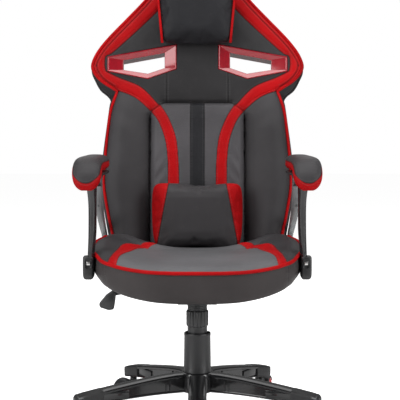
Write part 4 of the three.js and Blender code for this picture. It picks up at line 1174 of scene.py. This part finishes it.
def buildSeat():
    boardTop = nodeBox("seat_board")[0][2] + 12
    half = [(x * seat["half"], y * seat["depth"] + seat["front"]) for x, y in seat["plan"]]
    outline = flowing(half + [(-x, y) for x, y in half[::-1]], 40, loop=True)
    closed = np.vstack([outline, outline[:1]])
    walk = np.concatenate([[0], np.cumsum(np.linalg.norm(np.diff(closed, axis=0), axis=1))])
    steps = np.linspace(0, walk[-1], seat["outlinePoints"], endpoint=False)
    outline = np.stack([np.interp(steps, walk, closed[:, i]) for i in (0, 1)], 1)
    middle = np.array([0, seat["front"] + seat["depth"] / 2])

    def rimHeight(x, y):
        along = np.clip((y - seat["front"]) / (0.7 * seat["depth"]), 0, 1) ** 0.7
        across = 0.3 + 0.7 * np.minimum(1, np.abs(x) / (0.8 * seat["half"])) ** 2.4
        return boardTop + seat["rimFront"] + (seat["rimSide"] - seat["rimFront"]) * along * across

    def skirtBottom(x, y):
        rear = ramp(y, seat["front"], 0.14 * seat["front"])
        side = 0.75 + 0.25 * np.minimum(1, np.abs(x) / seat["half"]) ** 2
        spread = 1.05 * (np.abs(x) / seat["half"]) ** 3.1
        return boardTop - seat["skirtDrop"] + (seat["skirtDrop"] + 12) * np.maximum(rear * side, spread)

    rim = rimHeight(outline[:, 0], outline[:, 1])
    hem = skirtBottom(outline[:, 0], outline[:, 1])
    rings = []
    crown = boardTop + seat["crown"]
    stripes = [flowing(seat["stripeInner"], 6), flowing(seat["stripeOuter"], 6)]
    stripeOutline = np.vstack([stripes[0], stripes[1][::-1]])
    for share in np.concatenate([[0.02], np.linspace(0.06, 0.9, 56), np.linspace(0.915, 1.0, 12)]):
        place = middle + (outline - middle) * share
        inward = np.linalg.norm(outline - place, axis=1)
        lift = 1 - ramp(inward, 0, 165)
        dish = 0.8 * ramp(place[:, 1], -60, 130) * (1 - ramp(np.abs(place[:, 0]), 60, 250))
        fullness = (1 - 0.35 * ramp(inward, 60, 160)) * (1 - dish)
        height = crown + (rim - crown) * lift + puff(inward, 12, 42) * fullness
        plan = np.stack([np.abs(place[:, 0]), place[:, 1]], 1)
        for line in stripes:
            height -= 1.1 * np.exp(-(nearestOn(plan, line)[0] / 2.8) ** 2)
        height += puff(insideDistance(plan, stripeOutline), 2.2, 10)
        slack = 0.7 * np.sin(place[:, 0] / 31 + place[:, 1] / 43) * np.sin(place[:, 1] / 27)
        height += slack * ramp(inward, 20, 80)
        rings.append(np.column_stack([place, height]))
    skirt = [
        (1.008, 0.06), (1.016, 0.2), (1.02, 0.4), (1.014, 0.6), (1.0, 0.78), (0.98, 0.91),
        (0.955, 0.98), (0.93, 1.0), (0.906, 0.985),
    ]
    for share, drop in skirt:
        place = middle + (outline - middle) * share
        across = np.abs(np.abs(place[:, 0]) - seat["skirtSeam"])
        tuck = 1.2 * np.exp(-(across / 4) ** 2) * (place[:, 1] < seat["skirtSeamRear"])
        outward = place - middle
        place = place - tuck[:, None] * outward / np.linalg.norm(outward, axis=1)[:, None]
        rings.append(np.column_stack([place, rim + (hem - rim) * drop]))
    for share in (0.905, 0.3):
        place = middle + (outline - middle) * share
        rings.append(np.column_stack([place, np.full(len(place), boardTop + 0.4)]))
    piece = lofted("seat_upholstery", rings)
    x, y, z = meshPoints(piece).T
    plan = np.stack([np.abs(x), y], 1)
    edge = insideDistance(np.stack([x, y], 1), outline)
    topSide = z - rimHeight(x, y) + edge * 0.6 + 2
    writeField(piece, "redField", np.minimum(insideDistance(plan, stripeOutline), topSide))
    writeField(piece, "skirtField", -topSide)
    panel = np.vstack([stripes[0], [(-40, 140), (-40, -300), (197, -300)]])
    between = insideDistance(plan, panel)
    writeField(piece, "panelField", np.minimum(between, topSide))
    gap, along = nearestSeam(plan, stripes)
    gap[topSide <= 0], along[topSide <= 0] = noSeam, 0
    onSkirt = (topSide < 0) & (y < seat["skirtSeamRear"])
    across = np.abs(np.abs(x) - seat["skirtSeam"])
    gap[onSkirt], along[onSkirt] = across[onSkirt] * 1.4, z[onSkirt]
    writeField(piece, "seamGap", gap)
    writeField(piece, "seamAlong", along)
    settle(piece, "seat_cushion", seatLeather, 50)
    path = np.column_stack([middle + (outline - middle) * 1.008, rim - 1])
    hidden = (path[:, 1] > 60) & (np.abs(path[:, 0]) < 150)
    first = int(np.flatnonzero(hidden & ~np.roll(hidden, -1))[0]) + 1
    path = np.roll(path, -first, axis=0)[:int((~hidden).sum())]
    welt = tube("seat_welt", path, 4.6, (0, 0, 1), sides=12)
    settle(welt, [], redPiping, body="seat_unit")


# the armrests

arm = {
    "padHalfWidth": 37,
    "padHalfHeight": 21,
    "length": 300,
    "plateHalfWidth": 29,
    "plateThickness": 8,
    "plateInwards": 6.5,
    "footY": -142,
}


def sweptRings(line, halfWidth, halfHeight, shift, middleX, section):
    # line rows are y, z, share; the section stands across the line
    line = np.asarray(line, float)
    rings = []
    for i, (y, z, share) in enumerate(line):
        before, after = line[max(i - 1, 0)], line[min(i + 1, len(line) - 1)]
        along = (after - before)[:2] / np.linalg.norm((after - before)[:2])
        normal = np.array([along[1], -along[0]])
        ring = []
        for across, up in section:
            lift = up * halfHeight * share + shift
            ring.append((middleX + across * halfWidth * share, y + normal[0] * lift, z + normal[1] * lift))
        rings.append(ring)
    return rings


def legBetween(name, stations, count=24, power=0.5, steps=6):
    rows = flowing(stations, steps)
    section = roundBox(count, power)
    rings = [[(x + a * halfX, y + b * halfY, z) for a, b in section] for x, y, z, halfX, halfY in rows]
    return lofted(name, rings)


def buildArm(side, name):
    padLow, padHigh = nodeBox(f"armrest_{name}_pad")
    middleX = 0.5 * (padLow[0] + padHigh[0])
    top = padHigh[2] - arm["padHalfHeight"]
    rear, front = padHigh[1], padHigh[1] - arm["length"]
    line = flowing([
        (rear, top - 2, 0.5), (rear - 4, top - 1, 0.8), (rear - 14, top, 0.97), (rear - 30, top, 1),
        (rear - 110, top, 1), (front + 108, top, 1), (front + 76, top - 3, 1), (front + 52, top - 12, 1),
        (front + 35, top - 26, 0.97), (front + 27, top - 39, 0.88), (front + 23, top - 49, 0.74),
        (front + 21, top - 57, 0.54), (front + 20.5, top - 61, 0.34),
    ], 5)
    section = []
    for a, b in roundBox(56, 0.7):
        pinch = 1 - 0.055 * math.exp(-((b + 0.05) / 0.1) ** 2)
        section.append((a * pinch * (1 - 0.05 * max(0, b)), b))
    rings = sweptRings(line, arm["padHalfWidth"], arm["padHalfHeight"], 0, middleX, section)
    piece = lofted(f"arm_cushion_{name}", rings)
    points = meshPoints(piece)
    # where on the section each point of the mesh came from
    source = np.array(rings).reshape(-1, 3)
    marks = np.tile(np.array(section)[:, 1], len(rings))
    order = [int(np.argmin(((source - point) ** 2).sum(1))) for point in points]
    droop = ramp(points[:, 1], front + 95, front + 30)
    level = (marks[order] - 0.3 - 0.25 * droop) * arm["padHalfHeight"]
    tip = (top - 43) + 0.02 * (points[:, 0] - middleX) ** 2 - points[:, 2]
    tip = np.where(points[:, 1] < front + 60, tip, -30.0)
    heel = points[:, 1] - (rear - 9)
    red = np.maximum(np.maximum(-1.0 - level, tip), heel)
    writeField(piece, "redField", red)
    writeField(piece, "seamGap", np.abs(red))
    writeField(piece, "seamAlong", points[:, 1])
    settle(piece, f"armrest_{name}_pad", armLeather, 60)

    plateLine = flowing([(y, z, 1) for y, z in (
        (rear - 16, top), (rear - 110, top), (front + 108, top), (front + 76, top - 3),
        (front + 52, top - 12), (front + 34, top - 27), (front + 27, top - 38))], 4)
    shift = -(arm["padHalfHeight"] + 0.3 + arm["plateThickness"] / 2)
    plateX = middleX - side * arm["plateInwards"]
    halfWidth, halfThick = arm["plateHalfWidth"], arm["plateThickness"] / 2
    rings = sweptRings(plateLine, halfWidth, halfThick, shift, plateX, roundBox(20, 0.3))
    plate = lofted(f"arm_plate_{name}", rings)
    softened(plate, 0.8)
    settle(plate, f"armrest_{name}_plate", armBlack, 35)

    foot = nodeBox(f"armrest_{name}_foot")
    footTop = foot[1][2]
    height = top - 21 - footTop
    y = arm["footY"]

    def outwards(offset):
        return plateX + side * offset

    leg = legBetween(f"arm_front_leg_{name}_shell", [
        (outwards(3), y, footTop - 20, 8.4, 19),
        (outwards(3), y, footTop + 4, 8.8, 20),
        (outwards(2), y - 1, footTop + 0.1 * height, 9, 20),
        (outwards(-1), y - 6, footTop + 0.32 * height, 10, 19),
        (outwards(-2), y - 13, footTop + 0.64 * height, 10.2, 19),
        (outwards(-1), y - 20, footTop + 0.84 * height, 13, 23),
        (outwards(-1), y - 22, footTop + 0.93 * height, 16, 26),
    ], power=0.78)
    slot = slab("slot", (outwards(-1), y - 48, footTop + 0.8 * height), (13, 12, 4.5), 1.5)
    cutBy(leg, [slot])
    settle(leg, f"armrest_{name}_front_leg", armGloss, 40)

    rearLow, rearHigh = nodeBox(f"armrest_{name}_rear_leg")
    footX = side * (0.5 * (abs(rearLow[0]) + abs(rearHigh[0])) + 1)
    start = rear - 34
    topZ = top - 21

    def place(share, drop, halfX, halfY):
        drift = ramp(share, 0, 0.75)
        end = fromBack(0, 51.4, 30)
        return (plateX + (footX - plateX) * drift, start + (end[1] - start) * share ** 1.25,
                topZ + (end[2] - topZ) * drop, halfX, halfY)

    rearLeg = legBetween(f"arm_rear_leg_{name}_shell", [
        place(0.01, 0.07, 13, 24), place(0.02, 0.16, 11.5, 21), place(0.16, 0.4, 11.5, 19),
        place(0.45, 0.62, 10, 20), place(0.78, 0.83, 8.4, 21), place(1, 0.97, 7.6, 19),
        place(1.02, 1.08, 7.2, 15)], power=0.42)
    window = slab("window", place(0.28, 0.5, 0, 0)[:3] - np.array((0, 22, 0)), (5, 10, 14), 1.5)
    cutBy(rearLeg, [window])
    settle(rearLeg, f"armrest_{name}_rear_leg", armSatin, 40)

    footBottom = foot[0][2]
    footMiddle = side * (max(abs(foot[0][0]), abs(foot[1][0])) - 14)
    boot = legBetween(f"arm_foot_{name}_shell", [
        (footMiddle, y, footBottom, 8, 14), (footMiddle, y, footBottom + 3, 11.5, 19.5),
        (footMiddle, y, footBottom + 10, 13.6, 22.6), (footMiddle, y, footBottom + 24, 14, 23),
        (footMiddle, y, footTop - 4, 13.6, 22.6), (footMiddle, y, footTop, 12, 21),
    ], power=0.36, steps=4)
    recess = slab("recess", (footMiddle - side, y - 23, footBottom + 40), (15, 8, 22), 2.5)
    cutBy(boot, [recess])
    sleeveStart = 217.5 if side > 0 else -243.5
    sleeve = turned("sleeve", [(0, 0), (9, 0), (9, 26), (0, 26)],
                    (sleeveStart, y, footBottom + 26.1), axis="X", steps=24)
    boot = joinPieces(f"arm_foot_{name}_shell", [boot, sleeve])
    settle(boot, f"armrest_{name}_foot", armBlack, 35)
    boltPlace = (footMiddle - side, y - 20.5, footBottom + 42)
    bolt = slab(f"arm_foot_bolt_{name}", boltPlace, (9, 4, 9), 1.6)
    settle(bolt, [], pinSteel, body="seat_unit")

    # two screws in the bend at the front, two in the flat behind
    screwHead = [
        (0, 1.2), (1.0, 1.2), (1.2, 2.6), (3.0, 2.2), (4.2, 1.0), (4.4, 0), (4.2, -1.2), (0, -1.2),
    ]
    screws = [(-11, 0, 33, 118), (12, 0, 33, 118), (-11, 180, 30.6, 180), (12, 180, 30.6, 180)]
    for i, (offset, behind, below, turn) in enumerate(screws):
        at = (plateX + offset, front + 41 + behind, top - below)
        screw = turned(f"arm_screw_{name}_{i}", screwHead, steps=20)
        tilt = Matrix.Rotation(math.radians(turn), 4, "X")
        screw.data.transform(Matrix.Translation(Vector(at) * mm) @ tilt)
        settle(screw, [], brightSteel, body="seat_unit")


# mechanism, lever and column

knobParts = {"flutes": 18, "fluteDepth": 2.2, "insideHeight": 18.4, "cupRibs": 6}


def buildKnobAndCup():
    low, high = nodeBox("tension_knob")
    middleY = 0.5 * (low[1] + high[1])
    radius, bottom, top = 0.5 * (high[0] - low[0]), low[2], high[2]
    outline = []
    flutes = knobParts["flutes"]
    for turn in np.linspace(0, 2 * math.pi, flutes * 8, endpoint=False):
        hollow = knobParts["fluteDepth"] * (1 - abs(math.cos(flutes * turn / 2)) ** 0.7)
        outline.append((turn, radius - hollow))
    levels = [
        (bottom, -9), (bottom + 0.6, -4), (bottom + 2.4, -1.2), (bottom + 5, 0), (top - 4, 0),
        (top - 1.4, -1.2), (top, -3), (top, -7), (bottom + knobParts["insideHeight"], -7.4),
    ]
    rings = []
    for z, inset in levels:
        rings.append([
            ((r + inset) * math.cos(t), (r + inset) * math.sin(t) + middleY, z) for t, r in outline
        ])
    knob = lofted("tension_knob_body", rings)
    settle(knob, "tension_knob", knobBlack, 32)

    low, high = nodeBox("spring_cup")
    outer = 0.5 * (high[0] - low[0])
    profile = [(5.6, high[2] - 2), (outer - 2, high[2] - 2), (outer - 2, low[2])]
    ribs = knobParts["cupRibs"]
    for i in range(ribs):
        z = low[2] + (high[2] - low[2]) * i / ribs
        profile += [(outer - 1.0, z + 0.3), (outer, z + 1.2), (outer, z + 3.2), (outer - 1.0, z + 4.1)]
    profile += [(outer - 1, high[2]), (5.6, high[2])]
    cup = turned("spring_cup_shell", profile, (0, middleY, 0), steps=48)
    settle(cup, "spring_cup", knobBlack, 40)


def buildPaddle():
    high = nodeBox("lever_paddle")[1]

    def placed(outline):
        return [(high[0] - 4 + a, high[2] - 1 + 1.14 * b) for a, b in outline]

    def across(a, b, depth):
        return a, depth, b

    fan = [(-9, 0), (0, -1), (-2, -22), (-6, -44), (-20, -46), (-43, -39), (-45, -30), (-27, -11)]
    paddle = prism("height_paddle", placed(fan), -13, 13, across)
    softened(paddle, 3.5, 3, 20)
    panel = [(-10, -10), (-5, -22), (-11, -39), (-21, -40), (-38, -34), (-24, -17)]
    grip = prism("grip", placed(panel), -14.2, -8, across)
    softened(grip, 1.2, 2, 20)
    paddle = joinPieces("height_paddle", [paddle, grip])
    settle(paddle, "lever_paddle", knobBlack, 34)


def buildColumn():
    low, high = nodeBox("column_cover_lower")
    outer = 0.5 * (high[0] - low[0])
    z0, z1 = low[2], high[2]
    lower = turned("column_shroud_lower", [
        (outer - 2.3, z0), (outer + 0.9, z0), (outer + 1.1, z0 + 2), (outer + 0.2, z0 + 5),
        (outer - 0.9, z1 - 9), (outer - 0.4, z1 - 7), (outer - 0.4, z1 - 1.5), (outer - 1.0, z1),
        (outer - 2.3, z1), (outer - 2.9, z1 - 2)], steps=72)
    settle(lower, "column_cover_lower", coverBlack, 34)
    low, high = nodeBox("column_cover_middle")
    outer = 0.5 * (high[0] - low[0])
    z0, z1 = low[2], high[2]
    middle = turned("column_shroud_middle", [
        (outer - 1.8, z0), (outer, z0), (outer, z1 - 3), (outer + 0.2, z1 - 2), (outer - 0.4, z1),
        (outer - 1.8, z1)], steps=72)
    settle(middle, "column_cover_middle", coverBlack, 34)
    low, high = nodeBox("column_cover_upper")
    outer = 0.5 * (high[0] - low[0])
    z0, z1 = low[2], high[2]
    upper = turned("column_shroud_upper", [
        (outer - 0.9, z0), (outer, z0), (outer, z1 - 28), (outer - 0.7, z1 - 27),
        (outer - 0.7, z1 - 24), (outer, z1 - 23), (outer, z1 - 1), (outer - 0.9, z1)], steps=72)
    settle(upper, "column_cover_upper", coverBlack, 34)


# the star base and its casters

base = {
    "arms": 5,
    "reach": 335,
    "hub": 46,
    "hubDepth": 21,
    "tipHeight": 31,
    "capStart": 262,
}

caster = {
    "names": ["front", "right", "rear_right", "rear_left", "left"],
    "turns": [-90, 15, 75, 215, 165],
    "circle": 318,
    "radius": 25.0,
    "width": 17.0,
    "web": 7.0,
    "trail": 28.0,
    "hood": 30.0,
}


def buildBase():
    low, high = nodeBox("star_base")
    hubTop, tipBottom = high[2], low[2]
    hubBottom = tipBottom + base["hubDepth"]

    def armHeights(radius):
        along = np.clip((radius - 55) / (base["reach"] - 55), 0, 1)
        topZ = (hubTop - 1) + (tipBottom + base["tipHeight"] - hubTop + 1) * along ** 1.3
        bottomZ = (hubBottom + 2) + (tipBottom - hubBottom - 2) * along ** 2
        return topZ, bottomZ, 21 + 4 * along

    def armRing(radius):
        topZ, bottomZ, half = armHeights(radius)
        inner = half * 0.78 - 4
        right = [
            (inner, bottomZ + 1), (half * 0.8, bottomZ), (half * 0.86, bottomZ + 3),
            (half * 0.84, bottomZ + 5), (half * 0.78, bottomZ + 7), (half * 0.78, topZ - 11),
            (half * 0.96, topZ - 9), (half, topZ - 7), (half, topZ - 4.5), (half - 2.4, topZ - 1.6),
            (half * 0.5, topZ - 0.2),
        ]
        left = [(-a, b) for a, b in right[::-1]]
        ceiling = [(-inner * 0.9, topZ - 7), (inner * 0.9, topZ - 7)]
        return [(radius, a, b) for a, b in right + [(0, topZ + 0.3)] + left + ceiling]

    def capRing(radius, squeeze=1.0, drop=0.0, grow=0.9):
        topZ, bottomZ, half = armHeights(radius)
        half = (half + grow) * squeeze
        topZ += grow - drop
        bottomZ += 0.4
        right = [(half * 0.86, bottomZ), (half * 0.97, bottomZ + 5), (half, topZ - 8), (half - 1, topZ - 4),
                 (half - 4.5, topZ - 1.2), (half * 0.45, topZ)]
        return [(radius, a, b) for a, b in right + [(-a, b) for a, b in right[::-1]]]

    rim = base["hub"]
    hub = turned("star_hub", [
        (25.6, hubBottom), (rim - 6, hubBottom), (rim - 3, hubBottom + 3), (rim - 3, hubTop - 12),
        (rim - 0.6, hubTop - 9), (rim, hubTop - 5), (rim - 2, hubTop - 1.5), (rim - 5, hubTop),
        (39, hubTop), (38.2, hubTop - 1.2), (36.9, hubTop - 1.2), (36.9, hubTop - 3),
        (25.6, hubTop - 3)], steps=80)
    arms, caps = [], []
    for i in range(base["arms"]):
        spin = Matrix.Rotation(-math.pi / 2 + i * 2 * math.pi / base["arms"], 4, "Z")
        stations = np.linspace(36, base["reach"] - 6, 30)
        limb = lofted("limb", [armRing(radius) for radius in stations])
        ribs = []
        for radius, length in ((70, 26), (92, 3.2), (228, 68)):
            topZ, bottomZ, half = armHeights(radius)
            for face in (-1, 1):
                middle = (radius, face * half * 0.83, 0.5 * (topZ + bottomZ) - 2)
                ribs.append(slab("rib", middle, (length, half * 0.16, topZ - bottomZ - 15), 1.0))
        limb = joinPieces("limb", [limb] + ribs)
        cap = lofted("cap", [
            capRing(base["capStart"], grow=0.1), capRing(base["capStart"] + 1.5), capRing(285),
            capRing(310), capRing(326, 0.96, 0.6), capRing(332, 0.9, 2.0),
            capRing(base["reach"], 0.78, 5.0)])
        softened(cap, 1.2, 2, 24)
        for piece in (limb, cap):
            piece.data.transform(spin)
        arms.append(limb)
        caps.append(cap)
    star = joinPieces("star_base_shell", [hub] + arms)
    settle(star, "star_base", blackBase, 30)
    tips = joinPieces("star_base_tips", caps)
    settle(tips, [], tipBlack, 30, body="base")


def buildCasters():
    radius, width, trail, hood = caster["radius"], caster["width"], caster["trail"], caster["hood"]
    axlePlace = (trail, 0, radius)
    hoodEdges = [(22, 3.0), (21.2, 1.2), (19.5, 0.3), (17, 0)]
    hoodRings = [(-across, cut) for across, cut in hoodEdges] + hoodEdges[::-1]

    def around(reach, across, angles):
        return [(trail + reach * math.cos(a), across, radius + reach * math.sin(a)) for a in angles]

    for i, name in enumerate(caster["names"]):
        heading = -math.pi / 2 + i * 2 * math.pi / base["arms"]
        socket = Vector((caster["circle"] * math.cos(heading), caster["circle"] * math.sin(heading), 0))
        place = Matrix.Translation(socket * mm)
        place = place @ Matrix.Rotation(math.radians(caster["turns"][i]), 4, "Z")
        arc = np.radians(np.linspace(22, 207, 26))
        rings = []
        for across, cut in hoodRings:
            rings.append(around(hood - cut, across, arc) + around(26.9, across, arc[::-1]))
        shell = lofted("shell", rings)
        arc = np.radians(np.linspace(10, 215, 22))
        sides = [[(trail, across, radius)] + around(27.4, across, arc) for across in (-3.4, 3.4)]
        middle = lofted("middle", sides)
        boss = turned("boss", [(0, 31), (9.5, 31), (10, 34), (10, 55), (9, 56.6), (0, 56.6)], steps=28)
        axle = turned("axle", [(0, -21), (2.9, -21), (2.9, 21), (0, 21)], axlePlace, axis="Y", steps=16)
        housing = joinPieces(f"caster_{name}_hood", [shell, middle, boss, axle])
        housing.data.transform(place)
        settle(housing, f"caster_{name}_housing", casterBlack, 36)
        near = caster["web"] / 2 + 0.6
        far = near + width
        profile = [
            (3.4, near), (21, near), (24, near + 0.4), (radius, near + 1.6), (radius, near + 13.5),
            (24.2, near + 15.8), (22, far), (20.4, far - 0.2), (19.4, far - 2.6), (12, far - 3.2),
            (10.6, far - 0.8), (9, far - 0.2), (4.6, far - 0.4), (3.4, far - 1.4),
        ]
        for side, label in ((-1, "left"), (1, "right")):
            tread = [(r, side * h) for r, h in profile]
            wheel = turned(f"caster_{name}_roller_{label}", tread, axlePlace, axis="Y", steps=56)
            wheel.data.transform(place)
            settle(wheel, f"caster_{name}_wheel_{label}", wheelRed, 32)


# inner pieces keep the frame's own shape and get a real finish

def finishInnerPieces():
    finishes = {
        "base_plastic": blackBase,
        "caster_plastic": casterBlack,
        "steel_pin": pinSteel,
        "wheel_red": wheelRed,
        "black_steel": blackSteel,
        "column_plastic": coverBlack,
        "bright_steel": brightSteel,
        "knob_plastic": knobBlack,
        "valve_plastic": valveRed,
        "plywood": plywood,
        "dark_upholstery": darkLeather,
        "red_upholstery": redPiping,
        "trim_red": trimRed,
        "arm_plastic": armBlack,
        "arm_gloss": armGloss,
    }
    for part in frame["record"]["subparts"]:
        node = frame["nodes"][part["node"]]
        node.data.materials.clear()
        node.data.materials.append(finishes[part["material_slot"]])


buildBack()
buildRearPad()
buildTrims()
print("backrest ready")
buildHeadPillow()
buildLumbarPillow()
print("pillows ready")
buildSeat()
print("seat ready")
buildArm(-1, "left")
buildArm(1, "right")
print("armrests ready")
buildKnobAndCup()
buildPaddle()
buildColumn()
print("mechanism and column ready")
buildBase()
buildCasters()
finishInnerPieces()
print("base ready")
